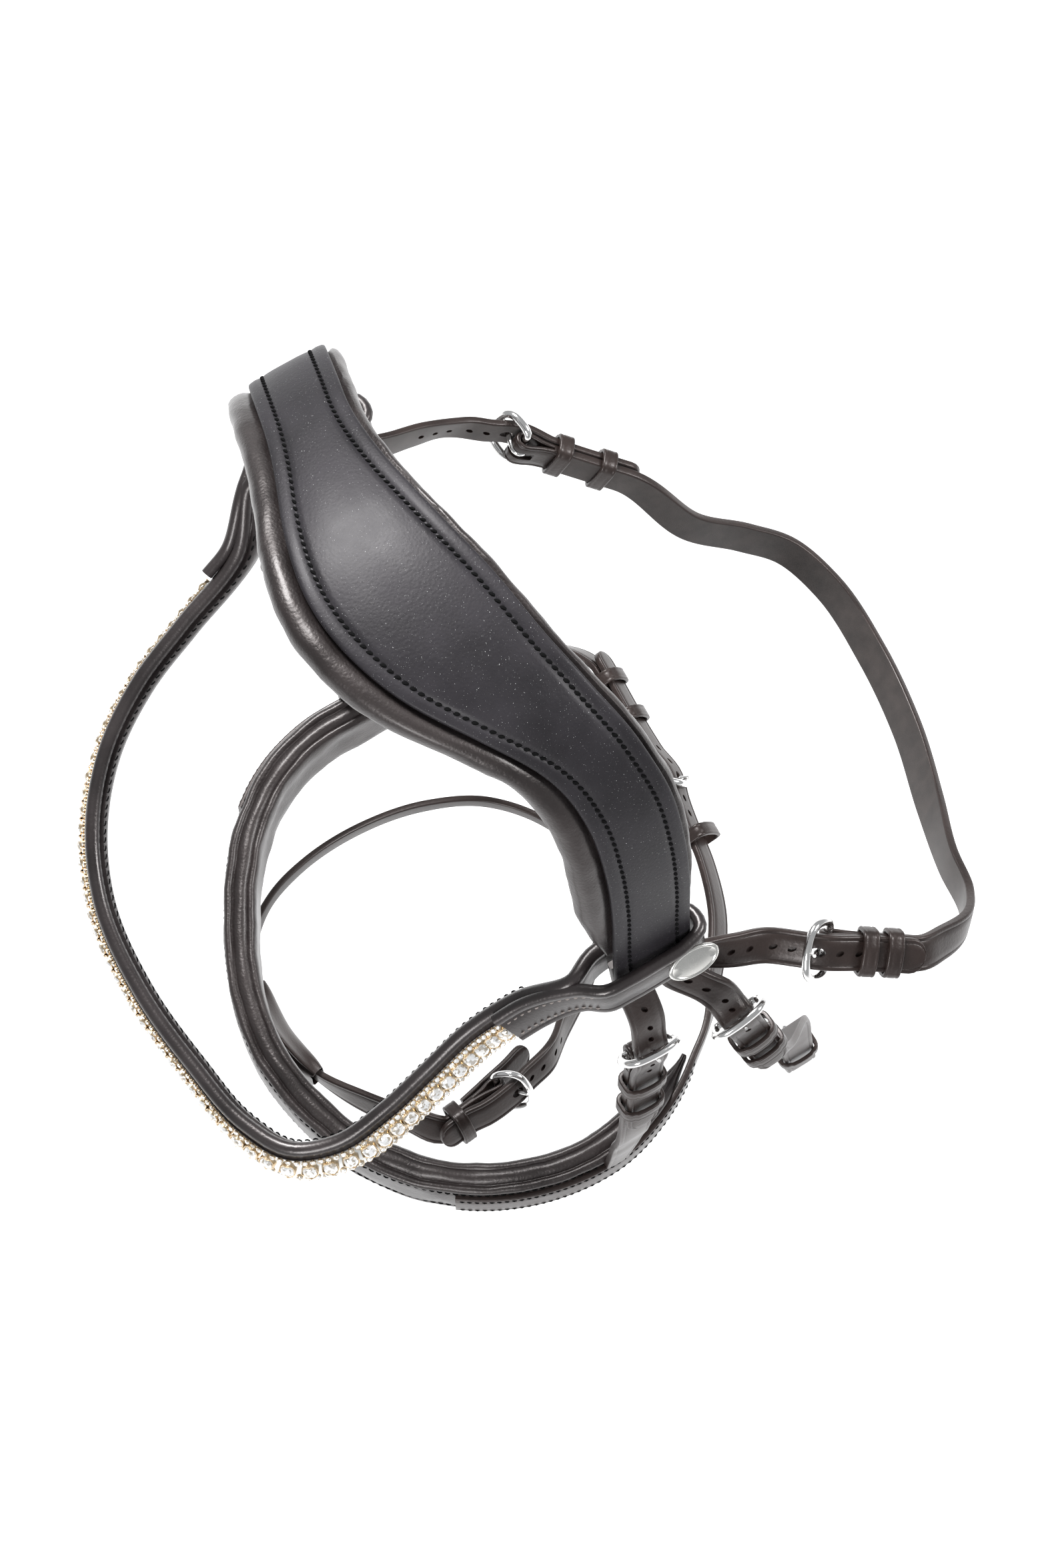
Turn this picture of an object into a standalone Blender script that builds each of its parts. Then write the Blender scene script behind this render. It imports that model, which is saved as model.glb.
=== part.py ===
"""Snaffle bridle, hanging as it does on a peg, built strap by strap.

Run with: blender --background --python part.py

Frame: metres, +Z up. The origin is on the underside of the crown padding, where
the bridle lies on the poll. -Y is the nose side, +Y the throat side and +X the
horse's left. Everything below is in millimetres until a mesh is made.
"""

import math

import bmesh
import bpy
from mathutils import Matrix, Vector

MM = 0.001

# Leather
STRAP_WIDTH = 14.0
STRAP_THICK = 3.0
FOLD_THICK = 3.6          # a strap just behind its buckle, doubled and skived
TRIM = 0.7                # broken corners along a strap
CROWN_THICK = 3.2
PADDING_THICK = 11.0
PADDING_GAP = 0.4
LAYER_GAP = 0.8           # between the crown leather and the billets under it
CROWN_HALF_MID = 29.0     # half width of the crown leather over the poll
CROWN_HALF_END = 16.0     # and at the browband loops
CROWN_WAIST = 100.0       # distance from the middle at which it is down to that
BROWBAND_HEIGHT = 17.0
BROWBAND_THICK = 4.4
BEAD_RADIUS = 2.9
LOOP_HEIGHT = 19.0
LOOP_THICK = 3.0
CRYSTAL_HEIGHT = 10.0
CRYSTAL_THICK = 2.4
CRYSTAL_SHARE = (0.03, 0.94)   # stretch of the browband that carries crystals
NOSE_HEIGHT = 34.0
NOSE_THICK = 10.0
SIDE_HEIGHT = 22.0        # noseband side strap where it lies on the nosepiece
SIDE_THICK = 3.2
HOLE_PITCH = 8.5
HOLE_LENGTH = 6.4
HOLE_WIDTH = 4.0
STEP = 10.0               # spacing of the rings along a strap

# Horseshoe buckle: its heel bar is the local origin.
WIRE = 1.5                # radius of the frame's wire
FRAME_HALF = 10.6         # half width to the wire's middle
FRAME_REACH = 13.5        # heel bar to toe bar
FRAME_TILT = 42.0         # degrees between frame and strap
TONGUE_WIRE = 1.15
TONGUE_RING = 2.9         # radius of the tongue's turn round the heel bar
TONGUE_LEAN = 67.3        # degrees between tongue and strap
TONGUE_LENGTH = 13.6
EYE_RADIUS = 4.05         # outside of the strap's fold round the heel bar
BAR_SPACE = 1.85          # radius of the space for the bar in that fold
HOLE_AT = 5.5             # where the tongue passes the billet
KEEPER_WIDTH = 6.0
KEEPER_THICK = 1.9

# Middle line of the crown leather's upper face, left end to right end.
CROWN_LINE = [
    (119, 26, -127), (113, 28, -106), (106, 31, -78), (97, 33, -52), (84, 33, -27),
    (67, 28, -7), (46, 17, 7), (24, 7, 14), (0, 1, 16.5), (-24, -2, 15), (-50, -1, 9),
    (-78, 4, -3), (-106, 11, -21), (-127, 17, -45), (-135, 21, -73), (-130, 23, -101),
    (-123, 23, -127),
]

# Browband loops: the middle of each on the crown leather's face, the way the
# crown's end runs down there, and the outward side.
LOOPS = {
    "left": dict(middle=(116.6, 26, -118), down=(0.26, 0, -0.966), out=(0.966, 0, 0.26)),
    "right": dict(middle=(-125.6, 23, -118), down=(0.25, 0, -0.968), out=(-0.968, 0, -0.25)),
}
# Path of a loop round the crown's end as (outward, backward, down) from that middle.
LOOP_PATH = [
    (-7, -38, 7), (-4, -29, 3), (3.0, -20.5, 1), (4.2, -12, 0), (4.2, 0, 0), (3.6, 12, 0),
    (-0.2, 20.4, 0), (-7.0, 20.4, 0), (-11.4, 12, 0), (-12.0, 0, 0), (-12.2, -13, 0.5),
    (-12.4, -24, 3), (-12.6, -34, 6.5),
]

# Top edge of the browband from the left fork to the right one: position, and
# the way its face looks.
BROWBAND_LINE = [
    (99, -22, -127, 0.80, -0.10, 0.60), (97, -44, -141, 0.80, -0.10, 0.60),
    (100, -64, -151, 0.80, -0.10, 0.58), (103, -84, -159, 0.80, -0.20, 0.55),
    (103, -104, -166, 0.75, -0.45, 0.48), (96, -119, -169, 0.50, -0.80, 0.40),
    (80, -128, -171, 0.30, -0.90, 0.26), (50, -134, -172, 0.15, -0.96, 0.12),
    (14, -137, -171, 0.00, -0.97, 0.12), (-22, -133, -168, -0.20, -0.95, 0.12),
    (-49, -121, -163, -0.45, -0.86, 0.12), (-70, -103, -157, -0.65, -0.72, 0.12),
    (-84, -81, -149, -0.82, -0.52, 0.12), (-93, -55, -139, -0.90, -0.35, 0.14),
    (-102, -26, -128, -0.94, -0.20, 0.16),
]

# Outer face of the nosepiece, left end round the front to the right end.
NOSE_LINE = [
    (100, 70), (118, 44), (128, 14), (127, -12), (118, -40), (101, -65), (78, -84), (46, -97),
    (13, -101), (-18, -95), (-48, -81), (-80, -58), (-100, -30), (-107, -4), (-107, 18),
    (-107, 40), (-105, 60),
]
NOSE_LEVEL = -390.0
CHIN_LEVEL = -400.0

# Buckles: the heel bar's middle, the way the billet comes from, the outward side.
BUCKLES = {
    "hanger_left": dict(bar=(131, 15, -176), billet=(-0.17, 0.12, 0.97), out=(0.97, 0, 0.2)),
    "hanger_right": dict(bar=(-126, 8, -178), billet=(-0.06, 0.12, 0.99), out=(-1, 0, 0)),
    "cheek_left": dict(bar=(139, 51, -171), billet=(-0.24, -0.22, 0.94), out=(0.92, 0, 0.3)),
    "cheek_right": dict(bar=(-125, 43, -176), billet=(0.02, -0.16, 0.98), out=(-1, 0, 0)),
    "throat_left": dict(bar=(137, 92, -161), billet=(-0.50, -0.83, 0.22), out=(0.5, -0.2, 0.85)),
    "throat_right": dict(bar=(-100, 99, -171), billet=(-0.60, -0.70, 0.38), out=(-0.84, 0.5, -0.15)),
    "chin": dict(bar=(-12, 120, -402), billet=(1, -0.05, 0), out=(0.05, 0.87, 0.5)),
    "flash": dict(bar=(68, -12, -438), billet=(-0.10, 0.99, -0.05), out=(0.8, 0.1, 0.55)),
}


# ------------------------------------------------------------------ geometry

class Place:
    """A local frame in millimetres: u towards the billet, v across, w outward."""

    def __init__(self, origin, u, w):
        self.origin = Vector(origin)
        self.u = Vector(u).normalized()
        self.w = (Vector(w) - Vector(w).dot(self.u) * self.u).normalized()
        self.v = self.w.cross(self.u)

    def at(self, u, v=0.0, w=0.0):
        return self.origin + self.u * u + self.v * v + self.w * w

    def knot(self, u, w=0.0, lean=0.0):
        """A route point at (u, w); lean turns its face towards the billet's side."""
        return self.at(u, 0, w), (self.w + self.u * lean).normalized()


PLACES = {name: Place(b["bar"], b["billet"], b["out"]) for name, b in BUCKLES.items()}


def loop_point(side, outward, backward, down):
    loop = LOOPS[side]
    return (Vector(loop["middle"]) + Vector(loop["out"]) * outward
            + Vector((0, backward, 0)) + Vector(loop["down"]) * down)


def loop_knot(side, outward, backward, down):
    return loop_point(side, outward, backward, down), Vector(LOOPS[side]["out"])


def knots(rows):
    return [(Vector(row[:3]), Vector(row[3:]).normalized()) for row in rows]


def route(points, step=STEP, closed=False):
    """Frames (position, tangent, normal, across) on a smooth curve through knots."""
    count = len(points)
    last = count if closed else count - 1
    gaps = [(points[(i + 1) % count][0] - points[i][0]).length for i in range(last)]

    def slope(i, k):
        if not closed and i == 0:
            return (points[1][k] - points[0][k]) / gaps[0]
        if not closed and i == count - 1:
            return (points[i][k] - points[i - 1][k]) / gaps[-1]
        before, after = gaps[i - 1], gaps[i % last]
        back = (points[i][k] - points[i - 1][k]) / before
        fore = (points[(i + 1) % count][k] - points[i][k]) / after
        return (back * after + fore * before) / (before + after)

    samples = []
    for i in range(last):
        j = (i + 1) % count
        parts = max(1, round(gaps[i] / step))
        for n in range(parts + (not closed and i == last - 1)):
            t = n / parts
            row = []
            for k in (0, 1):
                a, b = points[i][k], points[j][k]
                ma, mb = slope(i, k) * gaps[i], slope(j, k) * gaps[i]
                row.append(a * (2 * t**3 - 3 * t**2 + 1) + ma * (t**3 - 2 * t**2 + t)
                           + b * (3 * t**2 - 2 * t**3) + mb * (t**3 - t**2))
            samples.append(row)
    frames = []
    for i, (here, hint) in enumerate(samples):
        fore = samples[(i + 1) % len(samples)] if closed or i + 1 < len(samples) else samples[i]
        back = samples[i - 1] if closed or i else samples[i]
        tangent = (fore[0] - back[0]).normalized()
        normal = (hint - hint.dot(tangent) * tangent).normalized()
        frames.append((here, tangent, normal, tangent.cross(normal)))
    return frames


def flat(width, thick, trim=TRIM):
    """Section of a strap with broken corners, as (across, outward) pairs."""
    a, b = width / 2, thick / 2
    return [(-a, b - trim), (-a + trim, b), (a - trim, b), (a, b - trim),
            (a, trim - b), (a - trim, -b), (trim - a, -b), (-a, trim - b)]


def disc(radius, sides):
    turn = [2 * math.pi * (i + 0.5) / sides for i in range(sides)]
    return [(radius * math.cos(t), -radius * math.sin(t)) for t in turn]


def rings_of(frames, section):
    """Rings of points; section is one section, or a list with one for each frame."""
    each = section if isinstance(section[0], list) else [section] * len(frames)
    return [[here + across * a + normal * n for a, n in outline]
            for (here, _, normal, across), outline in zip(frames, each)]


def solid(name, rings, finish, closed=False):
    """An object whose faces join ring to ring, with end caps unless it is closed."""
    mesh = bpy.data.meshes.new(name)
    work = bmesh.new()
    loops = [[work.verts.new(p * MM) for p in ring] for ring in rings]
    sides = len(loops[0])
    pairs = list(zip(loops, loops[1:] + loops[:1])) if closed else list(zip(loops, loops[1:]))
    for first, second in pairs:
        for i in range(sides):
            j = (i + 1) % sides
            work.faces.new((first[i], second[i], second[j], first[j]))
    if not closed:
        work.faces.new(loops[0])
        work.faces.new(list(reversed(loops[-1])))
    bmesh.ops.recalc_face_normals(work, faces=work.faces)
    work.to_mesh(mesh)
    work.free()
    mesh.shade_smooth()
    mesh.set_sharp_from_angle(angle=math.radians(40))
    made = bpy.data.objects.new(name, mesh)
    made.data.materials.append(finish)
    bpy.context.scene.collection.objects.link(made)
    return made


def helper(name, rings):
    """A cutter or an addition for a Boolean: kept out of the render."""
    made = solid(name, rings, LEATHER)
    made.hide_render = True
    made.display_type = "WIRE"
    return made


def combine(target, other, operation):
    step = target.modifiers.new(operation.lower(), "BOOLEAN")
    step.operation = operation
    step.object = other


def prism(place, u, w, outline, low, high):
    """Rings of an outline in (u, w) about a point, running across from low to high."""
    return [[place.at(u + a, v, w + b) for a, b in outline] for v in (low, high)]


def pivot(name, point, pieces):
    """An empty on a joint's axis that carries the pieces the joint moves."""
    made = bpy.data.objects.new(f"{name}_pivot", None)
    made.location = Vector(point) * MM
    bpy.context.scene.collection.objects.link(made)
    for piece in pieces:
        piece.parent = made
        piece.matrix_parent_inverse = Matrix.Translation(-made.location)
    return made


def hang(name, point, *prefixes):
    """Hangs every piece whose name starts with one of the prefixes on a new pivot."""
    loose = [piece for piece in bpy.data.objects
             if piece.parent is None and piece.name.startswith(prefixes)]
    return pivot(name, point, loose)


# ----------------------------------------------------------------- materials

def material(name, colour, rough, metallic=0.0):
    made = bpy.data.materials.new(name)
    made.use_nodes = True
    shader = made.node_tree.nodes["Principled BSDF"]
    shader.inputs["Base Color"].default_value = (*colour, 1)
    shader.inputs["Roughness"].default_value = rough
    shader.inputs["Metallic"].default_value = metallic
    return made


for old in list(bpy.data.objects):
    bpy.data.objects.remove(old, do_unlink=True)

LEATHER = material("black_leather", (0.030, 0.026, 0.027), 0.45)
SOFT_LEATHER = material("soft_black_leather", (0.036, 0.031, 0.031), 0.6)
STEEL = material("polished_steel", (0.80, 0.79, 0.77), 0.15, 1.0)
CRYSTAL = material("crystal", (0.92, 0.88, 0.78), 0.05)


# --------------------------------------------------------- buckles, keepers

def frame_and_tongue(name):
    """The horseshoe frame and the tongue on its heel bar."""
    place = PLACES[name]
    tilt = math.radians(FRAME_TILT)
    half, reach = FRAME_HALF, FRAME_REACH
    outline = [(0, 0), (0, 7.4), (0.2, 9.4), (2.0, half), (6.0, half + 0.5), (9.8, half - 0.4),
               (12.4, 7.6), (reach, 3.6)]
    outline += [(reach, -3.6)] + [(p, -v) for p, v in reversed(outline[1:-1])]
    path = [(place.at(p * math.cos(tilt), v, p * math.sin(tilt)),
             place.w * math.cos(tilt) - place.u * math.sin(tilt)) for p, v in outline]
    wire = rings_of(route(path, 4.0, closed=True), disc(WIRE, 6))
    solid(f"{name}_buckle", wire, STEEL, closed=True)

    lean = math.radians(TONGUE_LEAN)
    start = lean - math.pi / 2
    turns = [start - math.radians(25.0) * i for i in range(11, -1, -1)]
    bends = [(TONGUE_RING * math.cos(t), TONGUE_RING * math.sin(t)) for t in turns]
    for reach in (0.35, 0.7, 1.0):
        length = TONGUE_LENGTH * reach
        bends.append((bends[11][0] + length * math.cos(lean),
                      bends[11][1] + length * math.sin(lean)))
    path = [(place.at(u, 0, w), place.v) for u, w in bends]
    tongue = solid(f"{name}_tongue", rings_of(route(path, 20.0), disc(TONGUE_WIRE, 6)), STEEL)
    pivot(f"{name}_tongue", place.origin, [tongue])


def keeper(name, place, u, low=-2.4, high=5.8, half=7.7, width=KEEPER_WIDTH):
    """A band round strap and billet: low, high and half are its inside."""
    def band(grow):
        a, top, bottom, cut = half + grow, high + grow, low - grow, 1.6 + grow * 0.5
        return [(-a, top - cut), (-a + cut, top), (a - cut, top), (a, top - cut),
                (a, bottom + cut), (a - cut, bottom), (cut - a, bottom), (-a, bottom + cut)]

    inside, outside = band(0), band(KEEPER_THICK)
    rings = []
    for (ia, ib), (oa, ob) in zip(inside, outside):
        rim = ((ia, ib, -1), (oa, ob, -1), (oa, ob, 1), (ia, ib, 1))
        rings.append([place.at(u + end * width / 2, a, b) for a, b, end in rim])
    made = solid(name, rings, LEATHER, closed=True)
    if name.endswith("runner"):
        pivot(name, place.at(u), [made])


def billet_knots(place, tail, settle=3.75):
    """The billet's way through its buckle, from above it to its tip at -tail."""
    rows = [(24, 1.2, -0.1), (12, 3.6, 0.2), (6, 5.5, 0.15), (0, 6.1, -0.05), (-6, 5.2, -0.2),
            (-11, 4.1, -0.1), (-17, settle, 0), (-tail, settle, 0)]
    return [place.knot(*row) for row in rows]


def rounded_tip(frames, width=STRAP_WIDTH, thick=STRAP_THICK):
    """The frames with a round tip added at the end, and a list of their sections."""
    here, tangent, normal, across = frames[-1]
    ends = ((2.5, 0.88), (4.5, 0.62), (5.6, 0.3))
    tip = [(here + tangent * d, tangent, normal, across) for d, _ in ends]
    sections = [flat(width, thick)] * len(frames)
    sections += [flat(width * share, thick, 0.45) for _, share in ends]
    return frames + tip, sections


def punch(strap, frames, place, holes):
    """Cuts the tongue's hole and its neighbours out of a billet."""
    marks = [0.0]
    for first, second in zip(frames, frames[1:]):
        marks.append(marks[-1] + (second[0] - first[0]).length)
    through = place.at(HOLE_AT, 0, 5.6)
    at_tongue = min(range(len(frames)), key=lambda i: (frames[i][0] - through).length)
    for number in holes:
        if number == 0:
            centre, along, normal = through, place.u, place.w
        else:
            want = marks[at_tongue] - number * HOLE_PITCH
            i = min(range(len(marks) - 1), key=lambda n: abs(marks[n] - want))
            centre, along, normal = frames[i][0], frames[i][1], frames[i][2]
        hole = Place(centre, along, normal)
        a, b = HOLE_LENGTH / 2, HOLE_WIDTH / 2
        if number:
            a, b = 1.6, 1.1
        ring = [(-a, 0), (-a * 0.6, b), (a * 0.6, b), (a, 0), (a * 0.6, -b), (-a * 0.6, -b)]
        rings = [[hole.at(x, y, h) for x, y in ring] for h in (-4, 4)]
        combine(strap, helper(f"{strap.name}_punch_{number}", rings), "DIFFERENCE")


def fold(strap, name):
    """Gives a strap its fold round the buckle's heel bar, slotted for the tongue."""
    place, half = PLACES[name], STRAP_WIDTH / 2 - 0.1
    eye = prism(place, 0, 0, disc(EYE_RADIUS, 14), -half, half)
    bar = prism(place, 0, 0, disc(BAR_SPACE, 12), -half - 2, half + 2)
    slot = prism(place, 0, 0, [(-5.4, -7), (-5.4, 7), (7, 7), (7, -7)], -2.1, 2.1)
    combine(strap, helper(f"{name}_eye", eye), "UNION")
    combine(strap, helper(f"{name}_bar_space", bar), "DIFFERENCE")
    combine(strap, helper(f"{name}_slot", slot), "DIFFERENCE")


def strap_head(place, straight):
    """Knots of a strap from its buckle's fold down to the end of its straight run."""
    return [place.knot(u) for u in (-2.6, -8, -13, 8 - straight, -straight)]


def head_sections(count):
    """Sections of a strap behind its buckle: thick at the fold, then doubled."""
    thick = [6.6, 5.0] + [FOLD_THICK] * (count - 2)
    return [flat(STRAP_WIDTH, t) for t in thick]


# ------------------------------------------------------------------ the crown

def crown_rows():
    """(position on the leather's face, outward normal, distance from the middle)."""
    rows = [(*point, 0, 0, 1) for point in CROWN_LINE]
    frames = route(knots(rows), 12.0)
    lengths = [0.0]
    for first, second in zip(frames, frames[1:]):
        lengths.append(lengths[-1] + (second[0] - first[0]).length)
    middle = lengths[-1] * 0.485
    out = []
    for (here, tangent, _, _), length in zip(frames, lengths):
        normal = Vector((tangent.z, 0, -tangent.x)).normalized()
        out.append((here, normal, length - middle))
    return out


def crown_half(distance):
    share = min(abs(distance) / CROWN_WAIST, 1)
    return CROWN_HALF_END + (CROWN_HALF_MID - CROWN_HALF_END) * (1 + math.cos(math.pi * share)) / 2


def crown():
    backward = Vector((0, 1, 0))
    rings = []
    for here, normal, distance in crown_rows():
        half = crown_half(distance)
        outline = [(-half, -0.8), (-half + 0.8, 0), (half - 0.8, 0), (half, -0.8),
                   (half, 0.8 - CROWN_THICK), (half - 0.8, -CROWN_THICK),
                   (0.8 - half, -CROWN_THICK), (-half, 0.8 - CROWN_THICK)]
        rings.append([here + backward * y + normal * n for y, n in outline])
    solid("crown_leather", rings, LEATHER)

    rows = crown_rows()
    rows = [row for row in rows if row[0].z > -104]
    rings = []
    for here, normal, distance in rows:
        ends = min((abs(rows[0][2]) - abs(distance)) / 40, (abs(rows[-1][2]) - abs(distance)) / 40)
        full = math.sin(math.pi / 2 * max(0.0, min(1.0, ends)))
        half = crown_half(distance)
        front, rear = -half - 2 - 9 * full, half + 1 + 3 * full
        top, thick = -CROWN_THICK - PADDING_GAP, 4 + (PADDING_THICK - 4) * full
        outline = [(front, top - thick * 0.55), (front + 1.5, top - thick * 0.2),
                   (front + 5, top), (rear - 4, top), (rear - 1, top - thick * 0.25),
                   (rear, top - thick * 0.6), (rear - 4, top - thick), (front + 6, top - thick),
                   (front + 1.5, top - thick * 0.85)]
        rings.append([here + backward * y + normal * n for y, n in outline])
    solid("crown_padding", rings, SOFT_LEATHER)


# --------------------------------------------------------------- the browband

def browband():
    half, bead, down = BROWBAND_THICK / 2, BEAD_RADIUS, BROWBAND_HEIGHT
    section = [(-down, half - TRIM), (TRIM - down, half), (bead * -1.9, half), (bead * -1.2, bead),
               (-0.4, bead * 0.7), (0, 0), (-0.4, -bead * 0.7), (bead * -1.2, -bead),
               (bead * -1.9, -half), (TRIM - down, -half), (-down, TRIM - half)]
    frames = route(knots(BROWBAND_LINE), 12.0)
    band = solid("browband", rings_of(frames, section), LEATHER)
    for side, (here, _, normal, across) in zip(LOOPS, (frames[0], frames[-1])):
        fork = here - across * BROWBAND_HEIGHT * 0.52
        path = [(fork, normal)] + [loop_knot(side, *row) for row in LOOP_PATH]
        up = -Vector(LOOPS[side]["down"])
        ring = route(path, 9.0, closed=True)
        rings = [[here + up * a + up.cross(tangent).normalized() * n
                  for a, n in flat(LOOP_HEIGHT, LOOP_THICK)] for here, tangent, _, _ in ring]
        work = solid(f"browband_loop_{side}", rings, LEATHER, closed=True)
        work.hide_render, work.display_type = True, "WIRE"
        combine(band, work, "UNION")

    low, high = (round(share * (len(frames) - 1)) for share in CRYSTAL_SHARE)
    stones = frames[low:high + 1]
    first, tall, base = bead * -2.1, -CRYSTAL_HEIGHT, half + 0.35
    row = [(first, base), (first + tall, base), (first + tall, base + 1.2),
           (first + tall * 0.72, base + 1.5), (first + tall * 0.5, base + CRYSTAL_THICK),
           (first + tall * 0.28, base + 1.5), (first, base + 1.2)]
    solid("crystal_strip", rings_of(stones, row), CRYSTAL)

    for side, loop in LOOPS.items():
        place = Place(loop_point(side, 6.4, 13.0, 0), Vector(loop["down"]) * -1, loop["out"])
        turn = [math.pi * i / 8 for i in range(16)]
        rings = [[place.at(4.6 * math.sin(t) * share, 10.5 * math.cos(t) * share, w) for t in turn]
                 for w, share in ((0, 1), (0.9, 1), (1.5, 0.86))]
        solid(f"badge_{side}", rings, STEEL)


# --------------------------------------------------- hangers and cheekpieces

def top_of_billet(side, backward, layer, first, last):
    """Two knots where a billet leaves the crown: layer is 0 outside, 1 inside."""
    depth = -CROWN_THICK / 2 if layer == 0 else -CROWN_THICK - LAYER_GAP - STRAP_THICK / 2
    return [loop_knot(side, depth, backward, down) for down in (first, last)]


def billet(name, start, place, tail, holes):
    frames, sections = rounded_tip(route(start + billet_knots(place, tail), 8.0))
    made = solid(name, rings_of(frames, sections), LEATHER)
    punch(made, frames, place, holes)


def hanger(side):
    name = f"hanger_{side}"
    place = PLACES[name]
    start = top_of_billet(side, -8.0, 1, -4, 14)
    billet(f"{name}_billet", start, place, 58, (-2, -1, 0, 1, 2, 3, 4, 5))
    frame_and_tongue(name)
    sign = 1 if side == "left" else -1
    x, y = (130.6, 9) if side == "left" else (-109.4, 17)
    outward = Vector((sign, 0, 0))
    path = strap_head(place, 62) + [(Vector((x + sign * 5, y, -320)), outward),
                                    (Vector((x, y, -378)), outward)]
    frames = route(path)
    made = solid(name + "_strap", rings_of(frames, head_sections(len(frames))), LEATHER)
    fold(made, name)
    keeper(f"{name}_fixed_keeper", place, -26)
    keeper(f"{name}_runner", place, -46)


def cheekpiece(side):
    name = f"cheek_{side}"
    place = PLACES[name]
    start = top_of_billet(side, 7.5, 0, 10.4, 15)
    billet(f"{name}_billet", start, place, 44, (-1, 0, 1, 2, 3, 4))
    frame_and_tongue(name)
    sign = 1 if side == "left" else -1
    spot = (137, 97, -366) if side == "left" else (-121, 76, -366)
    outer = Place(spot, (0, -0.12, 1), (sign, 0, 0))
    turn = []
    for angle in (0, 45, 90, 135, 180):
        a = math.radians(angle)
        away = outer.w * math.cos(a) - outer.u * math.sin(a)
        turn.append((outer.at(0, 0, -6.5) + away * 6.5, away))
    back = [(outer.at(9, 0, -9.0), -outer.w), (outer.at(18, 0, -4.2), -outer.w),
            (outer.at(42, 0, -4.2), -outer.w)]
    path = strap_head(place, 50) + [outer.knot(90), outer.knot(45), outer.knot(18)] + turn + back
    frames, sections = rounded_tip(route(path, 10.0))
    sections[:3] = head_sections(3)
    made = solid(name + "_strap", rings_of(frames, sections), LEATHER)
    fold(made, name)
    keeper(f"{name}_fixed_keeper", place, -21)
    keeper(f"{name}_runner", place, -35)
    keeper(f"{name}_bit_keeper", outer, 24, low=-6.4, high=2.1, half=7.7, width=7.0)
    hook = [(34, -7.2), (38, -7.4), (39.2, -9.2), (36.5, -10.6), (32, -10.2)]
    path = [(outer.at(u, 0, w), outer.v) for u, w in hook]
    solid(f"{name}_hook_stud", rings_of(route(path, 3.0), disc(1.2, 6)), STEEL)


# ------------------------------------------------------------------ noseband

def tapered(frames, start, end, first, last):
    """Sections whose width goes smoothly from first to last between two distances."""
    sections, gone = [], 0.0
    for i, (here, *_) in enumerate(frames):
        gone += (here - frames[i - 1][0]).length if i else 0.0
        share = max(0.0, min(1.0, (gone - start) / (end - start)))
        width = first + (last - first) * share * share * (3 - 2 * share)
        sections.append(flat(width, STRAP_THICK))
    return sections


def nose_row(x, y, level=NOSE_LEVEL):
    """A knot of the nosepiece's outer face: it looks away from the ring's middle."""
    return Vector((x, y, level)), Vector((x - 8, (y - 10) * 0.9, 0)).normalized()


def noseband():
    frames = route([nose_row(x, y) for x, y in NOSE_LINE], 12.0)
    a, thick = NOSE_HEIGHT / 2, NOSE_THICK
    section = [(-a, -2.5), (-a + 2, -0.5), (-a + 5, 0), (a - 5, 0), (a - 2, -0.5), (a, -2.5),
               (a, -thick + 3), (a - 3, -thick), (3 - a, -thick), (-a, 3 - thick)]
    solid("nosepiece_padding", rings_of(frames, section), SOFT_LEATHER)

    chin, lie = PLACES["chin"], SIDE_THICK / 2 + 0.35
    laid = [(here + normal * lie, normal) for here, _, normal, _ in frames]
    left = [row for row in laid if row[0].x > 0 and row[0].y > -66][::-1]
    left += knots([(78, 92, -396, 0.7, 0.55, 0.45), (57, 107, -399, 0.45, 0.72, 0.52),
                   (34, 115.5, CHIN_LEVEL, 0.22, 0.83, 0.5)])
    right = [row for row in laid if row[0].x < 0 and row[0].y > -52][::-1]
    right = knots([(-89, 110, CHIN_LEVEL, -0.62, 0.7, 0.3), (-102, 87, -396, -0.93, 0.3, 0.12)]) + right

    frames = route(left + billet_knots(chin, 58), 10.0)
    taper = tapered(frames, 125, 170, SIDE_HEIGHT, STRAP_WIDTH)
    frames, sections = rounded_tip(frames)
    made = solid("side_strap_left", rings_of(frames, taper + sections[len(taper):]), LEATHER)
    punch(made, frames, chin, (-2, -1, 0, 1, 2))

    frames = route(strap_head(chin, 58) + right, 10.0)
    taper = tapered(frames, 95, 140, STRAP_WIDTH, SIDE_HEIGHT)
    made = solid("side_strap_right", rings_of(frames, head_sections(3) + taper[3:]), LEATHER)
    fold(made, "chin")
    frame_and_tongue("chin")
    keeper("chin_fixed_keeper", chin, -30)
    keeper("chin_runner", chin, -50)
    keeper("chin_near_keeper", chin, 33, low=-3.4, high=6.8, half=8.9)


# ------------------------------------------------------------------- flash

FLASH_LEVEL = -421.0


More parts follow.
